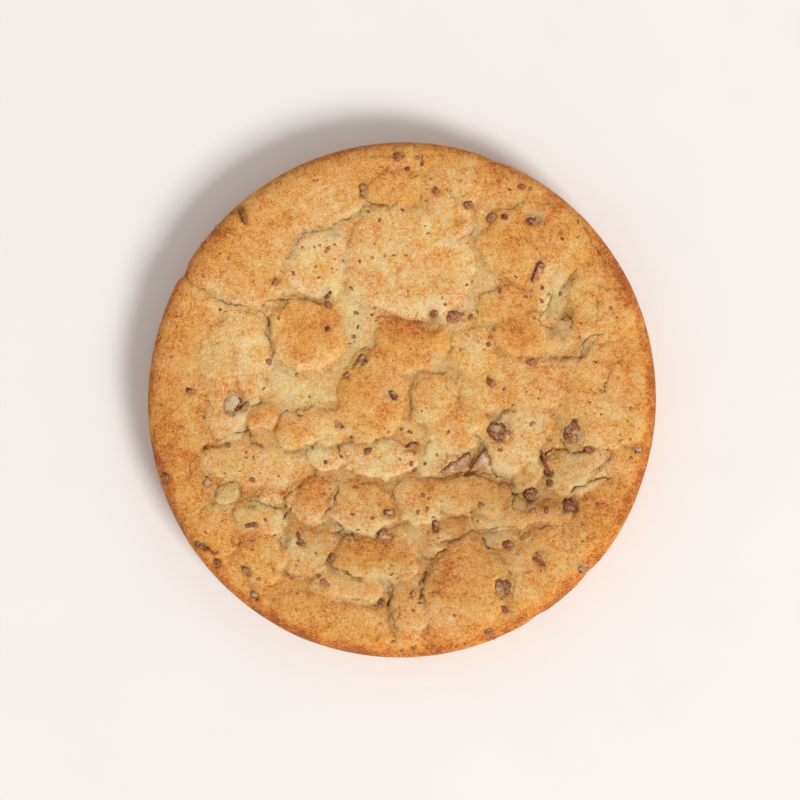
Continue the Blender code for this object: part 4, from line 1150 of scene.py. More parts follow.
# %% Three tables of accidents
# Places at the rim that caught: picture place, half length, half width, turn, how much
CAUGHT = (
    (628, 303, 4, 9, -30, 0.5), (623, 276, 4, 6, -30, 0.35), (646, 343, 6, 9, 0, 0.5),
    (651, 378, 4, 9, 0, 0.55), (646, 460, 5, 10, 10, 0.35), (569, 582, 9, 6, 40, 0.4),
    (552, 605, 7, 3, 35, 0.8), (543, 611, 5, 2, 35, 0.8), (262, 613, 8, 3, -40, 0.5),
    (275, 622, 8, 3, -35, 0.5), (300, 632, 22, 4, -28, 0.4), (330, 648, 14, 5, -20, 0.4),
    (362, 650, 12, 6, -8, 0.5), (560, 196, 7, 4, -45, 0.3), (545, 186, 6, 3, -40, 0.3),
    (525, 622, 7, 4, 30, 0.4), (283, 176, 14, 4, 30, 0.3), (207, 548, 8, 3, -35, 0.5),
    (340, 150, 30, 4, 14, 0.3), (170, 490, 4, 20, 15, 0.3),
)
# Dull grey-green dough that hardly baked
DULL = (
    (334, 235, 11, 7, 20, 0.8), (344, 253, 4, 12, 15, 0.6), (399, 246, 14, 6, 35, 0.6),
    (449, 243, 10, 6, 12, 0.9), (435, 362, 6, 12, 0, 0.9), (294, 398, 6, 14, 15, 0.5),
    (637, 373, 5, 10, 0, 0.7), (360, 318, 10, 16, 0, 0.8), (355, 338, 6, 8, 0, 0.7), (233, 402, 7, 8, 0, 1),
    (230, 497, 12, 8, 0, 0.7), (455, 625, 8, 6, 0, 0.5), (536, 217, 11, 6, 0, 0.9), (390, 393, 8, 8, 0, 0.7),
    (501, 586, 6, 8, 0, 0.9), (504, 430, 8, 6, 0, 0.8), (573, 437, 9, 10, 0, 0.5),
    (580, 568, 13, 6, -10, 0.9), (560, 275, 14, 16, 0, 0.5), (540, 492, 14, 6, 0, 0.5),
    (500, 536, 18, 6, 5, 0.5), (228, 470, 14, 10, 0, 0.4), (508, 615, 6, 5, 0, 0.6),
    (580, 485, 28, 5, 14, 0.5), (425, 320, 9, 7, 0, 0.4), (475, 341, 9, 7, 0, 0.6), (384, 512, 9, 5, 0, 0.4),
    (460, 360, 12, 8, 0, 0.2), (469, 206, 5, 4, 0, 0.7), (283, 288, 16, 9, 0, 0.5),
    (272, 365, 7, 12, 0, 0.5), (212, 488, 8, 5, 0, 0.5), (608, 465, 6, 12, 0, 0.5), (388, 582, 6, 8, 0, 0.5),
    (332, 565, 10, 6, 0, 0.4), (550, 345, 8, 10, 0, 0.3), (400, 470, 16, 8, 0, 0.2),
    (256, 582, 8, 6, 0, 0.5), (600, 440, 14, 10, 0, 0.2),
)
# Low places that get painted shade, partly also the dull tan of dough that baked less
TAN_AND_SHADE = (
    (530, 500, 44, 20, -12, 0.7), (500, 537, 32, 12, 0, 0.4), (470, 505, 20, 10, 0, 0.3),
    (240, 497, 28, 16, 10, 0.4), (575, 466, 32, 14, 10, 0.35), (440, 480, 44, 8, 0, 0.3),
    (558, 322, 15, 30, 0, 0.25), (575, 440, 16, 12, 0, 0.3), (430, 560, 10, 30, 10, 0.3),
    (395, 590, 12, 22, 0, 0.3), (330, 545, 26, 12, 0, 0.3), (500, 560, 24, 12, 0, 0.3),
    (400, 545, 120, 70, 0, 0.26), (215, 430, 56, 60, 0, 0.22), (545, 480, 50, 40, 0, 0.16),
)
print(len(CAUGHT), "caught places,", len(DULL), "dull ones and", len(TAN_AND_SHADE), "tan ones")

# %% [markdown]
# ## How brown the top is
#
# Grain frays the patches' edges. Towards the rim the crust browns in a wide faint band and a narrow strong
# one. At the front right, facing the lamp, the narrow band is widened and darkened: painted shade that takes
# back the lamp's light there. Past a deep brown it darkens ever more slowly.

# %% Brown the top
FRAYS = ((1.6, 7.0, 61), (1.6, 7.0, 62))
EDGE_FRAY = (1.2, 6.0, 63)
TOP_MOTTLE = ((0.07, 9.0, 64), (0.06, 3.6, 65), (0.04, 1.8, 66))
GLOW = 0.14  # browning that the wide band near the edge adds
GLOW_BAND = (2.0, 26.0)
RIM_BAND = 4.0  # mm of darker crust at the very edge
LAMP_SIDE_BAND = 5.0  # mm that the band grows by on the lamp's side, as painted shade against its light
# painted shade on the lamp's side, laid on as extra browning
RIM_BROWNER = 0.20
LAMP_SIDE_DARKER = 0.26
DEEP_BROWN = 0.78  # crust browner than this darkens ever more slowly
DARKENING = 0.22  # and by this much at the most


def frayed(flat):
    """x and y of places in millimetres, shifted a little so that patches get frayed edges."""
    return [flat[:, axis] + grains(flat, [fray]) for axis, fray in enumerate(FRAYS)]


def from_edge(flat):
    """How far in from the outline places lie, in millimetres."""
    return edge_radius(np.arctan2(flat[:, 1], flat[:, 0])) - np.hypot(flat[:, 0], flat[:, 1])


def top_browning(flat, points):
    """How brown the top's crust is at its points, from 0 to 1."""
    x, y, _ = flat.T
    _, browning = lay_top(x, y)
    browning = browning + PATCH_STRENGTH * soft_patches(*frayed(flat), BROWNING_AND_LIGHT_PATCHES)
    inward = from_edge(flat) + grains(flat, [EDGE_FRAY])
    browning += GLOW * (1.0 - ramp(*GLOW_BAND, inward))
    # the side facing the lamp, darkened as painted shade against the lamp's light
    lamp_side = 0.5 + 0.35 * (x - y) / np.maximum(np.hypot(x, y), 1.0)
    band = 1.0 - ramp(0.05, 1.0, inward / (RIM_BAND + LAMP_SIDE_BAND * lamp_side))
    browning += (RIM_BROWNER + LAMP_SIDE_DARKER * lamp_side) * band
    browning += soft_patches(*frayed(flat), CAUGHT)
    over = np.clip(browning - DEEP_BROWN, 0.0, None)
    browning = np.minimum(browning, DEEP_BROWN) + DARKENING * (1.0 - np.exp(-over / (2.0 * DARKENING)))
    return browning + grains(points, TOP_MOTTLE)


points = points_of(crust)
flat = on_paper(points[:, 0], points[:, 1])
browning = top_browning(flat, points)
print("the top's browning is", browning.mean().round(2), "on average")

# %% [markdown]
# ## The browner wall and base
#
# Metal passes on more heat than air, so the wall and the base bake darker and more evenly than the top,
# from a ragged border under the rim down.

# %% Brown the wall and the base
WALL_BROWNING = 0.80
BASE_BROWNING = 0.86
WALL_MOTTLE = ((0.10, 12.0, 67), (0.08, 4.0, 68))
BASE_MOTTLE = ((0.10, 14.0, 69), (0.08, 4.0, 70))
FOOT_BROWNER = 0.12
FOOT_BAND = 5.0
RIM_HEIGHT = RING_HEIGHT - ROLL_DROP
WALL_BORDER = (RIM_HEIGHT - 9.0, RIM_HEIGHT + 1.0)
BORDER_FRAY = (2.5, 5.0, 71)
WALL_THICKNESS = 6.0  # mm in from the edge where a point can still be on the wall
BASE_THICKNESS = 0.8

height = points[:, 2]
on_wall = 1.0 - ramp(*WALL_BORDER, height + grains(points, [BORDER_FRAY]))
on_wall = on_wall * (from_edge(flat) + grains(flat, [EDGE_FRAY]) < WALL_THICKNESS)
on_base = (height < BASE_THICKNESS) & (from_edge(flat) > WALL_TAPER + FOOT_ROUND)
wall = WALL_BROWNING + grains(points, WALL_MOTTLE) + FOOT_BROWNER * (1.0 - ramp(0.0, FOOT_BAND, height))
browning = browning + (wall - browning) * on_wall
browning = np.where(on_base, BASE_BROWNING + grains(points, BASE_MOTTLE), browning)
print("with wall and base it is", browning.mean().round(2))

# %% [markdown]
# ## Valleys and stains
#
# A place lower than the dough round it is a valley. It gets painted shade, and partly the duller colour of
# dough that baked less. And round each piece of chocolate some has melted into the dough and stained it.

# %% Find the valleys and stains
VALLEY_REACH = 6.0  # mm to the places a valley is measured against
VALLEY_DEPTH = 1.6
VALLEY_WAYS = 8
STAIN_REACH = 0.5  # mm past its piece


def valleys(x, y):
    """How low the dough lies against its surroundings, from 0 to 1."""
    here, _ = lay_top(x, y)
    around = np.zeros_like(x)
    for angle in ring_angles(VALLEY_WAYS):
        heights, _ = lay_top(x + VALLEY_REACH * math.cos(angle), y + VALLEY_REACH * math.sin(angle))
        around += heights / VALLEY_WAYS
    return np.clip((around - here) / VALLEY_DEPTH, 0.0, 1.0)


def stains(x, y):
    """How far melted chocolate has stained the dough at x, y, from 0 to 1."""
    total = np.zeros_like(x)
    for px, py, length, width, turn in PIECES:
        shape = (px, py, length / 2.0 + STAIN_REACH, width / 2.0 + STAIN_REACH, turn)
        out, _ = in_ellipse(x, y, shape)
        total = np.maximum(total, 1.0 - ramp(0.7, 1.5, out))
    return total


stain = stains(*frayed(flat))
print("stained points:", (stain > 0.5).sum())

# %% [markdown]
# ## Paint the crust by its points
#
# Five values go to the material: browning, the painted shadow in a crease, how dull the dough is, the
# painted shade of a valley and of the fold beside a crease (partly also less-baked tan), and how far melted
# chocolate has stained it. A painted picture could hold them too, but it would need unwrapping.

# %% Give the crust its values
CREASE_SHADE = 0.4  # how strongly the soft fold beside a crease gets painted valley shade
NO_VALLEY = (4.0, 14.0)  # mm from the edge over which valleys fade in

_, shadow_in_crease, shaded = crease_marks(flat)
valley = valleys(*flat.T[:2]) + soft_patches(*frayed(flat), TAN_AND_SHADE)
valley = valley * ramp(*NO_VALLEY, from_edge(flat)) + CREASE_SHADE * shaded
dull = np.clip(soft_patches(*frayed(flat), DULL), 0.0, 1.0)
set_attributes(
    crust,
    browning=np.clip(browning, 0.0, 1.0),
    crease=shadow_in_crease * (1.0 - on_wall),
    dull=dull * (1.0 - on_wall),
    valley=np.clip(valley, 0.0, 1.0) * (1.0 - on_wall),
    stain=stain * (1.0 - on_wall),
)
print("dark points:", (shadow_in_crease > 0.5).sum())

# %% [markdown]
# ## Tools for materials
#
# A material is a tree of nodes. Small helpers for the moves that repeat keep the materials short.

# %% Add and feed nodes
def colour(red, green, blue):
    """A colour as a screen shows it, from 0 to 255, as the renderer's own linear colour."""
    screen = [v / 255.0 for v in (red, green, blue)]
    return tuple(v / 12.92 if v <= 0.04045 else ((v + 0.055) / 1.055) ** 2.4 for v in screen) + (1.0,)


def new_material(name):
    """A new material with its node tree, its shader and the object's own places."""
    finish = bpy.data.materials.new(name)
    finish.use_nodes = True
    tree = finish.node_tree
    return finish, tree, tree.nodes["Principled BSDF"], node(tree, "TexCoord").outputs["Object"]


def node(tree, kind, **settings):
    made = tree.nodes.new("ShaderNode" + kind)
    for key, value in settings.items():
        setattr(made, key, value)
    return made


def feed(tree, made, **inputs):
    """Sets or links a node's inputs by name, with _ for a space, or by number after an i."""
    for key, value in inputs.items():
        socket = made.inputs[int(key[1:])] if key[1:].isdigit() else made.inputs[key.replace("_", " ")]
        if isinstance(value, bpy.types.NodeSocket):
            tree.links.new(value, socket)
        else:
            socket.default_value = value
    return made


def attribute(tree, name):
    return node(tree, "Attribute", attribute_name=name).outputs["Fac"]


print("middle grey is", round(colour(128, 128, 128)[0], 3), "in linear light")

# %% [markdown]
# ## Noise and mixing
#
# Nothing baked is even, so noise of several sizes shakes nearly every value. A surface then needs a
# colour, an uneven roughness, a faint shine and a fine bump. Bump is right for grain under half a
# millimetre. All that is larger is in the mesh.

# %% Shake and mix
ROUGHNESS_CHANGE = 0.3


def noise(tree, where, size_mm, detail=3.0, roughness=0.55):
    """Noise whose features are about size_mm large."""
    made = node(tree, "TexNoise")
    feed(tree, made, Vector=where, Scale=1.0 / (size_mm * MM), Detail=detail, Roughness=roughness)
    return made.outputs["Fac"]


def math_node(tree, operation, first, second=0.0, third=0.0):
    made = node(tree, "Math", operation=operation)
    return feed(tree, made, i0=first, i1=second, i2=third).outputs[0]


def shaken(tree, value, where, layers):
    """A value with noise round 0 added, given by each layer's size in millimetres and strength."""
    for size, strength in layers:
        shift = math_node(tree, "MULTIPLY_ADD", noise(tree, where, size), strength, -0.5 * strength)
        value = math_node(tree, "ADD", value, shift)
    return value


def spread(tree, value, low, high):
    """0 up to low, 1 from high, and a straight rise between."""
    made = node(tree, "MapRange")
    return feed(tree, made, Value=value, From_Min=low, From_Max=high).outputs[0]


def blend_colours(tree, share, first, second, kind="MIX"):
    made = node(tree, "Mix", data_type="RGBA", blend_type=kind)
    return feed(tree, made, i0=share, i6=first, i7=second).outputs[2]


def laid_over(tree, shade, value, strength, over):
    """A shade with another laid over it, strength times as thickly as a value says."""
    return blend_colours(tree, math_node(tree, "MULTIPLY", value, strength), shade, over)


def ramp_node(tree, value, stops):
    made = node(tree, "ValToRGB")
    elements = made.color_ramp.elements
    while len(elements) < len(stops):
        elements.new(0.5)
    for element, (position, shade) in zip(elements, stops):
        element.position = position
        element.color = shade
    return feed(tree, made, Fac=value).outputs["Color"]


def surface(tree, shader, shade, rough, shine, height, strength, depth_mm):
    """Feeds a shader its colour, roughness, shine and a fine bump."""
    bump = feed(tree, node(tree, "Bump"), Height=height, Strength=strength, Distance=depth_mm * MM)
    feed(tree, shader, Base_Color=shade, Roughness=rough, Specular_IOR_Level=shine, Normal=bump.outputs[0])


print("noise of 1 mm needs the scale", round(1.0 / MM))

# %% [markdown]
# ## Crust material
#
# Browning becomes colour on a ramp of baked dough, from cream through gold to deep orange brown. Noise of
# four sizes shifts it first, least where the crust is darkest, so the colour breaks up as a real crust
# does. A slow tint makes some parts golden and some rosy.

# %% The crust's colours
BAKED = (
    (0.00, colour(239, 211, 161)),
    (0.22, colour(237, 197, 135)),
    (0.45, colour(234, 178, 102)),
    (0.65, colour(230, 158, 75)),
    (0.85, colour(211, 126, 48)),
    (1.00, colour(168, 88, 28)),
)
GOLDEN = (0.99, 1.01, 0.88, 1.0)
ROSY = (1.01, 0.99, 1.06, 1.0)
BROWNING_NOISE = ((16.0, 0.9), (5.0, 1.0), (1.7, 1.2))
GRAIN_SHIFT = -2.4
TINT_NOISE = ((15.0, 1.6), (32.0, 1.2))
LEAST_CALM = 0.5


def baked_colour(tree, where, grit):
    """The colour of baked dough from its browning, broken up by noise and by its fine grit."""
    browning = attribute(tree, "browning")
    calm = math_node(tree, "MAXIMUM", math_node(tree, "SUBTRACT", 1.3, browning), LEAST_CALM)
    shift = shaken(tree, 0.0, where, BROWNING_NOISE)
    gritty = math_node(tree, "MULTIPLY_ADD", grit, GRAIN_SHIFT, -0.5 * GRAIN_SHIFT)
    shift = math_node(tree, "ADD", shift, gritty)
    shade = ramp_node(tree, math_node(tree, "MULTIPLY_ADD", shift, calm, browning), BAKED)
    hue = shaken(tree, noise(tree, where, 6.0, 4.0, 0.6), where, TINT_NOISE)
    tint = blend_colours(tree, spread(tree, hue, 0.2, 0.8), GOLDEN, ROSY)
    return blend_colours(tree, 1.0, shade, tint, "MULTIPLY")


print("baked dough goes through", len(BAKED), "colours")

# %% [markdown]
# ## What lies over the baked colour
#
# Over that go the painted shade of the valleys, dark and pale grains, dull dough, chocolate stains, the
# painted shadow in the creases, and tiny specks: a few cells of a Voronoi pattern, chosen by their random
# colour.

# %% Make the crust's material
# painted shade, multiplied in where the dough lies low and beside the creases
VALLEY_SHADE = colour(216, 204, 190)
GRAIN_DARK = colour(150, 92, 48)
GRAIN_PALE = colour(246, 224, 192)
DULL_COLOUR = colour(210, 180, 132)
STAIN_COLOUR = colour(158, 112, 70)
# the colour of the painted shadow down in the creases
CREASE_SHADOW_COLOUR = colour(104, 66, 30)
SPECK_COLOUR = colour(160, 88, 52)
SPECK_SPACING = 2.2
GRIT_SIZE = 0.75


def speck_dots(tree, where):
    """A few small round dots, 1 inside and 0 outside."""
    dots = node(tree, "TexVoronoi")
    feed(tree, dots, Vector=where, Scale=1.0 / (SPECK_SPACING * MM), Randomness=1.0)
    small = spread(tree, dots.outputs["Distance"], 0.26, 0.12)
    chosen = feed(tree, node(tree, "SeparateColor"), i0=dots.outputs["Color"])
    return math_node(tree, "MULTIPLY", small, spread(tree, chosen.outputs[0], 0.16, 0.06))


def crust_material():
    finish, tree, shader, where = new_material("baked_crust")
    grit = noise(tree, where, GRIT_SIZE, 3.0, 0.85)
    shade = baked_colour(tree, where, grit)
    # painted shade in the valleys, partly the tan of less-baked dough
    shade = blend_colours(tree, attribute(tree, "valley"), shade, VALLEY_SHADE, "MULTIPLY")
    shade = laid_over(tree, shade, spread(tree, grit, 0.43, 0.28), 0.42, GRAIN_DARK)
    shade = laid_over(tree, shade, spread(tree, grit, 0.55, 0.75), 0.3, GRAIN_PALE)
    ragged = shaken(tree, attribute(tree, "dull"), where, ((2.0, 1.2),))
    shade = laid_over(tree, shade, spread(tree, ragged, 0.3, 1.1), 0.7, DULL_COLOUR)
    patchy = spread(tree, noise(tree, where, 1.5), 0.35, 0.8)
    shade = laid_over(tree, shade, attribute(tree, "stain"), patchy, STAIN_COLOUR)
    # painted shadow down in the creases, laid over the crust's colour
    shade = laid_over(tree, shade, attribute(tree, "crease"), 0.76, CREASE_SHADOW_COLOUR)
    shade = laid_over(tree, shade, speck_dots(tree, where), 0.7, SPECK_COLOUR)
    roughness = shaken(tree, 0.62, where, ((1.5, ROUGHNESS_CHANGE),))
    crumbs = math_node(tree, "ADD", grit, noise(tree, where, 0.4))
    surface(tree, shader, shade, roughness, 0.2, crumbs, 1.0, 0.45)
    return finish


crust.data.materials.append(crust_material())
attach(crust, "root")
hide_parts("cookie")
print("crust material has", len(crust.data.materials[0].node_tree.nodes), "nodes")

# %% [markdown]
# ## Chocolate material
#
# Baked milk chocolate loses its shine: cocoa butter comes up as a pale pinkish bloom, thickest on the flat
# faces, while broken edges stay dark red brown. Each point carries a tone, from dark to bloomed, and noise
# spreads the bloom unevenly. A film of dough covers some of it.

# %% Make the chocolate's material
CHOCOLATE_TONES = (
    (0.00, colour(74, 36, 18)),
    (0.25, colour(140, 68, 36)),
    (0.50, colour(160, 98, 62)),
    (0.75, colour(184, 136, 106)),
    (1.00, colour(216, 198, 166)),
)
DOUGH_FILM = colour(198, 168, 120)
BLOOM_NOISE = ((3.0, 0.4), (0.9, 0.9), (0.45, 1.1))
FILM_NOISE = ((1.4, 2.4), (0.5, 1.8))


def chocolate_material():
    finish, tree, shader, where = new_material("milk_chocolate")
    shade = ramp_node(tree, shaken(tree, attribute(tree, "tone"), where, BLOOM_NOISE), CHOCOLATE_TONES)
    film = shaken(tree, attribute(tree, "film"), where, FILM_NOISE)
    shade = blend_colours(tree, film, shade, DOUGH_FILM)
    roughness = shaken(tree, 0.52, where, ((1.2, ROUGHNESS_CHANGE),))
    surface(tree, shader, shade, roughness, 0.18, noise(tree, where, 0.6, 4.0), 0.7, 0.25)
    return finish


chocolate = chocolate_material()
print("chocolate material has", len(chocolate.node_tree.nodes), "nodes")

# %% [markdown]
# ## Chopping chocolate
#
# A chopped chunk is a block with its corners knifed off. A cube could be cut with planes. Here a fine ball
# is pressed against those planes instead: each point moves out along its own direction until it meets a
# cut. The high power in the sum leaves a small soft edge where two cuts meet, as in warm chocolate.

# %% Press a ball against planes
EDGE_SOFTNESS = 26.0
CHIPPED = ((0.30, 3.2, 81), (0.16, 1.3, 82), (0.06, 0.6, 84))
SEEDS_APART = 13.0  # mm in the grain between one seed and the next


def ball(subdivisions):
    """A unit ball's points and triangles."""
    form = bmesh.new()
    bmesh.ops.create_icosphere(form, subdivisions=subdivisions, radius=1.0)
    points = np.array([v.co for v in form.verts])
    triangles = np.array([[v.index for v in f.verts] for f in form.faces])
    form.free()
    return points, triangles


def pressed(directions, normals, distances, tones, seed, rough):
    """A ball's points pushed out to the nearest plane, chipped a little, and each point's tone."""
    push = np.clip(directions @ normals.T, 0.0, None) / distances
    reach = np.sum(push**EDGE_SOFTNESS, axis=1) ** (-1.0 / EDGE_SOFTNESS)
    points = directions * reach[:, None]
    chips = grains(points + seed * SEEDS_APART, CHIPPED)
    points = points + directions * (rough * chips)[:, None]
    return points, tones[np.argmax(push, axis=1)]


fine_ball, chip_ball, speck_ball = ball(5), ball(4), ball(3)
print("a chunk takes", len(fine_ball[1]), "triangles")

# %% [markdown]
# ## A knife's cuts
#
# A piece with no outline of its own gets the six sides of its block, a ring of steep cuts, and a few
# broken corners, some upright and some across the top, all drawn with its own seed.

# %% Chop a block
BOX = [sign * axis for axis in np.eye(3) for sign in (1.0, -1.0)]
CUTS = 6
CUT_RISES = (-0.25, 0.75)
CUT_SHARES = (0.68, 0.86)  # of the way from the middle to the block's own surface
UPRIGHT_CORNER = ((-0.1, 0.3), (0.55, 0.85))  # rises and shares
TOP_CORNER = ((0.8, 2.0), (0.66, 0.88))
CORNERS = (UPRIGHT_CORNER, UPRIGHT_CORNER, TOP_CORNER, TOP_CORNER, TOP_CORNER)
TILT = 9.0
TONE_CHANGE = 0.12


def knife_cut(draw, heading, rises, shares):
    """One cut: its outward direction, and how much of the block it leaves on its side."""
    outward = Vector((math.cos(heading), math.sin(heading), draw.uniform(*rises))).normalized()
    return (*outward, draw.uniform(*shares))


def chopped(directions, size, seed, tone):
    """A ball's points pressed against the cuts of a block of that size, and each point's tone."""
    draw = random.Random(seed)
    cuts = [(*outward, 1.0) for outward in BOX]
    for k in range(CUTS):
        heading = math.tau * (k + draw.uniform(0.15, 0.85)) / CUTS
        cuts.append(knife_cut(draw, heading, CUT_RISES, CUT_SHARES))
    tilt = Matrix.Rotation(math.radians(draw.uniform(-TILT, TILT)), 4, (1.0, 0.3, 0.0))
    for rises, shares in CORNERS:
        cuts.append(knife_cut(draw, draw.uniform(0.0, math.tau), rises, shares))
    normals, left = np.array(cuts)[:, :3], np.array(cuts)[:, 3]
    tones = tone + np.array([draw.uniform(-TONE_CHANGE, TONE_CHANGE) for _ in cuts])
    distances = np.abs(normals) @ (np.array(size) / 2.0) * left
    points, tones = pressed(directions, normals, distances, tones, seed, min(1.0, size[1] / 5.0))
    return points @ np.array(tilt.to_3x3()).T, tones


block, _ = chopped(chip_ball[0], (4.0, 4.0, 4.0), 1, 0.4)
print("a 4 mm block comes out", np.ptp(block, axis=0).round(1), "mm large")

# %% [markdown]
# ## Seat a piece in the dough
#
# Chocolate sinks into soft dough square to it, and stands only a little proud. One matrix turns, tilts and
# places each piece by the slope measured before. The spots are then read where its points have come to lie.

# %% Seat a piece
PROUD = 0.8  # how far chocolate stands out of the dough
THIN_SMEAR = 0.2
SPOT_BREAKS = (0.5, 1.8, 86)


def seated(points, tones, x, y, depth, turn):
    """A piece's points set square to the slope at x, y, so that it stands PROUD, and their tones."""
    here, along_x, along_y = SLOPES[x, y]
    up = Vector((-along_x, -along_y, 1.0)).normalized()
    middle = Vector((x, y, here)) + up * (PROUD - depth / 2.0)
    square = Vector((0.0, 0.0, 1.0)).rotation_difference(up).to_matrix().to_4x4()
    matrix = np.array(Matrix.Translation(middle) @ square @ Matrix.Rotation(math.radians(turn), 4, "Z"))
    points = points @ matrix[:3, :3].T + matrix[:3, 3]
    return points, tones + soft_patches(points[:, 0], points[:, 1], TONE_SPOTS_AND_HIGHLIGHT)


def dough_film(points):
    """Where a smear of dough still covers the chocolate, from 0 to 1."""
    smears = THIN_SMEAR * ramp(0.2, 0.8, grain(points, 2.0, 85))
    spots = soft_patches(points[:, 0], points[:, 1], FILM_SPOTS) * (0.8 + grains(points, [SPOT_BREAKS]))
    return np.clip(smears + spots, 0.0, 1.0)


block, _ = seated(block, 0.4, *CHIPS[3][:2], 4.0, 0.0)
print("set down it reaches", block[:, 2].max().round(1), "mm high")

# %% [markdown]
# ## Pieces with an outline of their own
#
# These get an upright side for each stretch of the outline, and a slanting broken edge up to the flat top.

# %% Press a piece to its outline
WIDEST_BEVEL = 1.5  # mm from a piece's side to its flat top
BEVEL_SHARE = 0.3  # of the piece's width
BEVEL_DROP = 0.6  # how far the bevel falls, as a share of its width
OUTLINE_ROUGH = 0.55


def outline_planes(corners, depth, bevel, top_tone, edge_tones):
    """The planes of a piece with these corners round the origin (mm), and the tone of each plane."""
    outward, away = sides(corners)
    drop = BEVEL_DROP * bevel
    upright = np.column_stack((outward, np.zeros(len(away))))
    slant = np.column_stack((outward * drop, np.full(len(away), bevel))) / math.hypot(drop, bevel)
    slant_away = (drop * away + bevel * (depth / 2.0 - drop)) / math.hypot(drop, bevel)
    normals = np.vstack((upright, slant, ((0.0, 0.0, 1.0), (0.0, 0.0, -1.0))))
    distances = np.concatenate((away, slant_away, (depth / 2.0, depth / 2.0)))
    return normals, distances, np.concatenate((edge_tones, edge_tones, (top_tone, top_tone)))


def outlined(directions, piece, depth, seed):
    """A seated piece that has an outline: its points on the cookie and their tones."""
    x, y, _, width, _ = piece
    top_tone, *corners = OUTLINES[x, y]
    middle, places = outline_of(x, y)
    bevel = min(WIDEST_BEVEL, BEVEL_SHARE * width)
    planes = outline_planes(places, depth, bevel, top_tone, [tone for *_, tone in corners])
    points, tones = pressed(directions, *planes, seed, OUTLINE_ROUGH)
    return seated(points + (*(middle - (x, y)), 0.0), tones, x, y, depth, 0.0)


print("the slab has", len(OUTLINES[slab[:2]]) - 1, "corners")

# %% [markdown]
# ## The large chunks
#
# Each chunk stands for its own node of the model, with the same outline and seat, so the form stays and
# only the surface gets finer.

# %% Set the chunks
CHUNK_DEPTH = 6.0
CHUNK_SEED = 100


def set_chunk(number, name, *piece):
    """A chunk as an object of its own, in place of its node."""
    points, tones = outlined(fine_ball[0], piece, CHUNK_DEPTH, CHUNK_SEED + number)
    chunk = mesh_from_arrays(name.replace("chunk", "chocolate"), points, fine_ball[1])
    set_attributes(chunk, tone=tones, film=dough_film(points))
    chunk.data.materials.append(chocolate)
    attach(chunk, "root")
    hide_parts(name)
    return chunk


chunks = [set_chunk(number, *chunk) for number, chunk in enumerate(CHUNKS)]
print(len(chunks), "chunks set")

# %% [markdown]
# ## Chips
#
# There are too many small pieces for an object each. They are made as arrays and joined into one mesh for
# each kind. The chips come first: pieces of a few millimetres.

# %% Join the chips
CHIP_DEPTH = 3.6
CHIP_SEED = 7
CHIP_TONES = (0.25, 0.45)


def joined(name, pieces, form, films):
    """One object from a list of (points, tones), all pressed from one ball, with each one's dough film."""
    directions, triangles = form
    points = np.vstack([points for points, _ in pieces])
    numbered = [triangles + k * len(directions) for k in range(len(pieces))]
    thing = mesh_from_arrays(name, points, np.vstack(numbered))
    film = np.repeat(films, len(directions))
    film = film + (1.0 - film) * dough_film(points)
    set_attributes(thing, tone=np.concatenate([tones for _, tones in pieces]), film=film)
    thing.data.materials.append(chocolate)
    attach(thing, "root")
    return thing


def chip_piece(number, chip, tone):
    """A seated chip, by its outline where it has one."""
    if chip[:2] in OUTLINES:
        return outlined(chip_ball[0], chip, CHIP_DEPTH, number)
    x, y, length, width, turn = chip
    made = chopped(chip_ball[0], (length, width, CHIP_DEPTH), number, tone)
    return seated(*made, x, y, CHIP_DEPTH, turn)


chip_draw = random.Random(CHIP_SEED)
chip_pieces = [chip_piece(k, chip, chip_draw.uniform(*CHIP_TONES)) for k, chip in enumerate(CHIPS)]
chips = joined("chocolate_chips", chip_pieces, chip_ball, np.zeros(len(CHIPS)))
print("chips have", len(chips.data.polygons), "triangles")

# %% [markdown]
# ## Listed specks
#
# Specks are crumbs of chocolate under a skin of dough: flat, soft-edged and reddish. Most are listed one
# by one, as picture place and size.

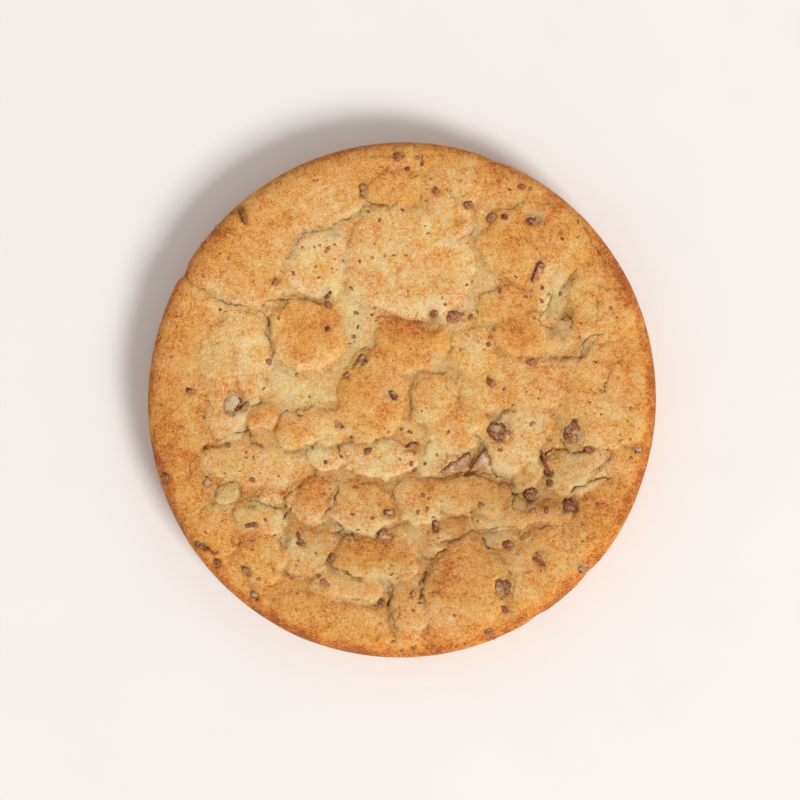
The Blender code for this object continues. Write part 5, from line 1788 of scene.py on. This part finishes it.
# %% The table of specks
SPECKS = (
    (504, 218, 6), (507, 180, 4), (521, 187, 5), (508, 190, 4), (529, 190, 5), (514, 175, 3), (518, 175, 3),
    (520, 178, 3), (417, 159, 5), (422, 158, 4), (422, 164, 5), (407, 170, 5), (427, 190, 3), (422, 198, 4),
    (426, 202, 3), (403, 211, 5), (369, 213, 5), (380, 221, 4), (425, 227, 3), (428, 234, 4), (431, 180, 3),
    (416, 148, 4), (464, 154, 4), (277, 184, 4), (281, 184, 3), (277, 189, 3), (314, 182, 4), (318, 181, 3),
    (317, 160, 3), (261, 209, 3), (218, 228, 5), (204, 244, 5), (204, 276, 4), (229, 259, 4), (221, 254, 3),
    (254, 282, 3), (178, 317, 3), (193, 323, 3), (219, 326, 3), (221, 310, 4), (226, 312, 4), (173, 357, 3),
    (154, 362, 4), (166, 355, 3), (303, 248, 3), (315, 248, 3), (320, 246, 3), (327, 241, 3), (328, 249, 5),
    (326, 252, 4), (335, 245, 3), (335, 260, 3), (316, 267, 4), (294, 274, 5), (319, 278, 4), (337, 270, 3),
    (332, 269, 3), (343, 261, 4), (279, 318, 5), (329, 306, 5), (352, 289, 5), (356, 313, 5), (358, 327, 5),
    (354, 337, 5), (350, 344, 3), (366, 348, 4), (375, 244, 3), (373, 258, 3), (360, 262, 4), (385, 257, 3),
    (394, 256, 4), (406, 256, 3), (467, 244, 3), (408, 292, 3), (417, 295, 2), (375, 308, 4), (372, 315, 3),
    (422, 318, 3), (420, 324, 5), (445, 305, 3), (442, 298, 3), (437, 288, 3), (467, 285, 3), (472, 282, 3),
    (376, 321, 3), (411, 350, 3), (422, 338, 3), (500, 292, 5), (515, 277, 4), (525, 297, 5), (531, 297, 4),
    (532, 291, 3), (523, 291, 3), (542, 288, 4), (548, 295, 4), (541, 301, 4), (560, 294, 5), (534, 319, 4),
    (478, 342, 3), (494, 330, 4), (561, 240, 5), (577, 238, 3), (578, 224, 5), (612, 268, 4), (602, 258, 3),
    (601, 244, 3), (623, 275, 4), (610, 309, 4), (616, 318, 3), (580, 337, 4), (580, 324, 3), (594, 362, 5),
    (590, 390, 4), (589, 402, 3), (600, 414, 3), (630, 409, 4), (626, 421, 3), (620, 440, 4), (629, 439, 3),
    (607, 449, 4), (630, 458, 4), (504, 389, 4), (526, 392, 3), (540, 390, 4), (538, 399, 3), (514, 412, 3),
    (532, 424, 6), (500, 450, 5), (448, 432, 5), (422, 411, 3), (426, 408, 2), (402, 429, 4), (410, 432, 6),
    (389, 432, 3), (352, 437, 5), (377, 441, 4), (400, 459, 4), (411, 463, 6), (414, 469, 6), (414, 454, 4),
    (437, 455, 4), (425, 464, 4), (199, 409, 3), (206, 418, 4), (264, 389, 4), (229, 446, 6), (207, 455, 3),
    (247, 452, 4), (247, 458, 3), (254, 457, 4), (184, 428, 4), (174, 432, 3), (287, 411, 4), (301, 416, 5),
    (310, 397, 3), (297, 375, 5), (298, 450, 5), (313, 448, 4), (341, 457, 4), (326, 462, 5), (253, 480, 6),
    (266, 519, 5), (223, 521, 3), (207, 532, 3), (239, 522, 3), (253, 541, 4), (253, 549, 3), (226, 473, 3),
    (182, 520, 3), (292, 509, 4), (316, 529, 3), (275, 534, 4), (342, 525, 4), (353, 514, 5), (358, 529, 3),
    (330, 489, 3), (324, 494, 4), (338, 494, 3), (355, 488, 5), (323, 478, 3), (279, 476, 3), (328, 560, 4),
    (350, 540, 4), (299, 560, 3), (297, 565, 3), (316, 553, 3), (285, 570, 4), (320, 575, 5), (373, 518, 4),
    (418, 512, 5), (427, 509, 6), (423, 495, 4), (429, 499, 4), (433, 517, 3), (391, 536, 4), (387, 547, 4),
    (392, 565, 3), (392, 573, 4), (438, 538, 4), (481, 505, 6), (471, 512, 4), (478, 521, 3), (540, 570, 3),
    (597, 505, 5), (587, 538, 4), (582, 541, 3), (618, 522, 4), (411, 597, 4), (420, 602, 5), (400, 607, 3),
    (396, 610, 3), (405, 609, 3), (413, 609, 3), (454, 614, 4), (380, 623, 4), (434, 592, 4), (457, 576, 3),
    (414, 647, 5), (415, 653, 4), (402, 650, 4), (399, 655, 3), (393, 641, 4), (439, 650, 4), (456, 646, 3),
    (465, 642, 4), (495, 637, 5), (503, 630, 3), (298, 593, 4), (297, 609, 3), (257, 608, 5), (260, 578, 5),
    (510, 572, 5), (546, 510, 6), (532, 510, 7), (550, 331, 5), (269, 362, 7), (262, 446, 6), (381, 601, 6),
    (376, 606, 5), (190, 479, 3), (397, 161, 5), (600, 391, 4), (635, 462, 3), (488, 345, 5), (483, 350, 4),
    (461, 350, 3), (453, 348, 3), (489, 338, 3), (478, 313, 4),
)
print(len(SPECKS), "specks placed by eye")

# %% [markdown]
# ## Scattered dust
#
# A seeded rule scatters the finest ones, more of them near the rim. Each one alone hardly shows.

# %% Scatter the dust
DUST_COUNT = 160
DUST_SEED = 23
DUST_MARGIN = 4.0  # mm at the edge that stays free of dust
OUTWARDS = 0.42  # the lower, the more of the dust lies near the rim
DUST_SIZES = (0.5, 1.1)

speck_draw = random.Random(DUST_SEED)
wanted = [(*place(across, down), size * MM_PER_STEP) for across, down, size in SPECKS]
for _ in range(DUST_COUNT):
    angle = speck_draw.uniform(0.0, math.tau)
    radius = (MEAN_RADIUS - DUST_MARGIN) * speck_draw.random() ** OUTWARDS
    wanted.append((radius * math.cos(angle), radius * math.sin(angle), speck_draw.uniform(*DUST_SIZES)))
print(len(wanted), "specks wanted in all")

# %% [markdown]
# ## Sink the specks into the crust
#
# Each speck is a tiny chopped block. Only a small part stands out, under a film of dough that is thicker
# the smaller it is. Painted dots would be simpler, but they would stay flat in a low light.

# %% Make the specks
SPECK_SEED = 500
SPECK_DEPTH = 0.8  # a speck's height as a share of its width
SPECK_PROUD = 0.16  # how much of that height shows
SPECK_TONES = (0.30, 0.46)


def speck(number, size, ground):
    """A crumb of chocolate with its middle sunk under a place on the top, and its tones."""
    length = size * speck_draw.uniform(1.0, 1.4)
    block = (length, size * speck_draw.uniform(0.5, 1.0), size * SPECK_DEPTH)
    shape, tones = chopped(speck_ball[0], block, SPECK_SEED + number, speck_draw.uniform(*SPECK_TONES))
    turn = np.array(Matrix.Rotation(speck_draw.uniform(0.0, math.tau), 3, "Z"))
    return shape @ turn.T + ground - (0.0, 0.0, block[2] * (0.5 - SPECK_PROUD)), tones


speck_x, speck_y, speck_sizes = np.array(wanted).T
grounds = np.column_stack((speck_x, speck_y, top_surface(speck_x, speck_y)))
speck_pieces = [speck(k, *both) for k, both in enumerate(zip(speck_sizes, grounds))]
speck_films = 0.04 + 0.22 * (1.0 - ramp(0.8, 2.6, speck_sizes))
specks = joined("chocolate_specks", speck_pieces, speck_ball, speck_films)
print("specks have", len(specks.data.polygons), "triangles")

# %% [markdown]
# ## The table
#
# The cookie lies on a plain pale table with a very faint mottle. It is stage, not part of the cookie.

# %% Lay the table
TABLE_SIZE = 4.0
TABLE_DROP = 0.0004  # just under the base, so that the two faces don't meet


def pale_table():
    finish, tree, shader, where = new_material("pale_table")
    shade = blend_colours(tree, noise(tree, where, 60.0), colour(238, 234, 230), colour(232, 228, 224))
    feed(tree, shader, Base_Color=shade, Roughness=0.8)
    bpy.ops.mesh.primitive_plane_add(size=TABLE_SIZE, location=(0.0, 0.0, -TABLE_DROP))
    table = bpy.context.object
    table.name = "table"
    table.data.materials.append(finish)
    return table


print("table is", pale_table().dimensions.x, "m wide")

# %% [markdown]
# ## Light
#
# One large lamp shines from the right in front, about halfway up, which puts soft shadows behind every
# fold. A dim even sky fills them. A small lamp would make them hard.

# %% Light the cookie
SKY_COLOUR = (1.0, 0.98, 0.96, 1.0)
SKY_STRENGTH = 0.58
LAMP_POWER = 505.0
LAMP_SIZE = 2.6
LAMP_DISTANCE = 8.0
LAMP_TURN = -48.0  # degrees from +X
LAMP_HEIGHT = 44.0  # degrees over the table


def light_it():
    sky = bpy.data.worlds.new("sky")
    sky.use_nodes = True
    feed(sky.node_tree, sky.node_tree.nodes["Background"], Color=SKY_COLOUR, Strength=SKY_STRENGTH)
    bpy.context.scene.world = sky
    lamp = bpy.data.lights.new("soft_lamp", "AREA")
    lamp.energy = LAMP_POWER
    lamp.size = LAMP_SIZE
    stand = bpy.data.objects.new("soft_lamp", lamp)
    turn, up = math.radians(LAMP_TURN), math.radians(LAMP_HEIGHT)
    away = Vector((math.cos(turn) * math.cos(up), math.sin(turn) * math.cos(up), math.sin(up)))
    stand.location = away * LAMP_DISTANCE
    stand.rotation_euler = away.to_track_quat("Z", "Y").to_euler()
    bpy.context.scene.collection.objects.link(stand)
    return stand


print("lamp stands at", [round(v, 1) for v in light_it().location], "m")

# %% [markdown]
# ## Camera
#
# The camera looks straight down, from far enough that the round hardly bends. Its lens makes one picture
# step half a millimetre at the height of the crust.

# %% Look down on it
PICTURE_WIDTH = 800
CAMERA_HEIGHT = 1.15
SENSOR = 36.0
AIM_HEIGHT = 0.024  # the picture's scale holds at this height over the table


def look_down():
    eye = bpy.data.cameras.new("eye")
    eye.sensor_width = SENSOR
    eye.lens = SENSOR * (CAMERA_HEIGHT - AIM_HEIGHT) / (PICTURE_WIDTH * MM_PER_STEP * MM)
    camera = bpy.data.objects.new("eye", eye)
    x, y = place(PICTURE_WIDTH / 2.0, PICTURE_WIDTH / 2.0)
    camera.location = (x * MM, y * MM, CAMERA_HEIGHT)
    bpy.context.scene.collection.objects.link(camera)
    bpy.context.scene.camera = camera
    return eye


bpy.context.scene.view_settings.view_transform = "Standard"
print("lens", round(look_down().lens, 1), "mm")

# %% [markdown]
# ## Finish
#
# The dressed cookie must be as large as the model was. Last, the scene is brought up to date.

# %% Finish
bpy.context.view_layer.update()
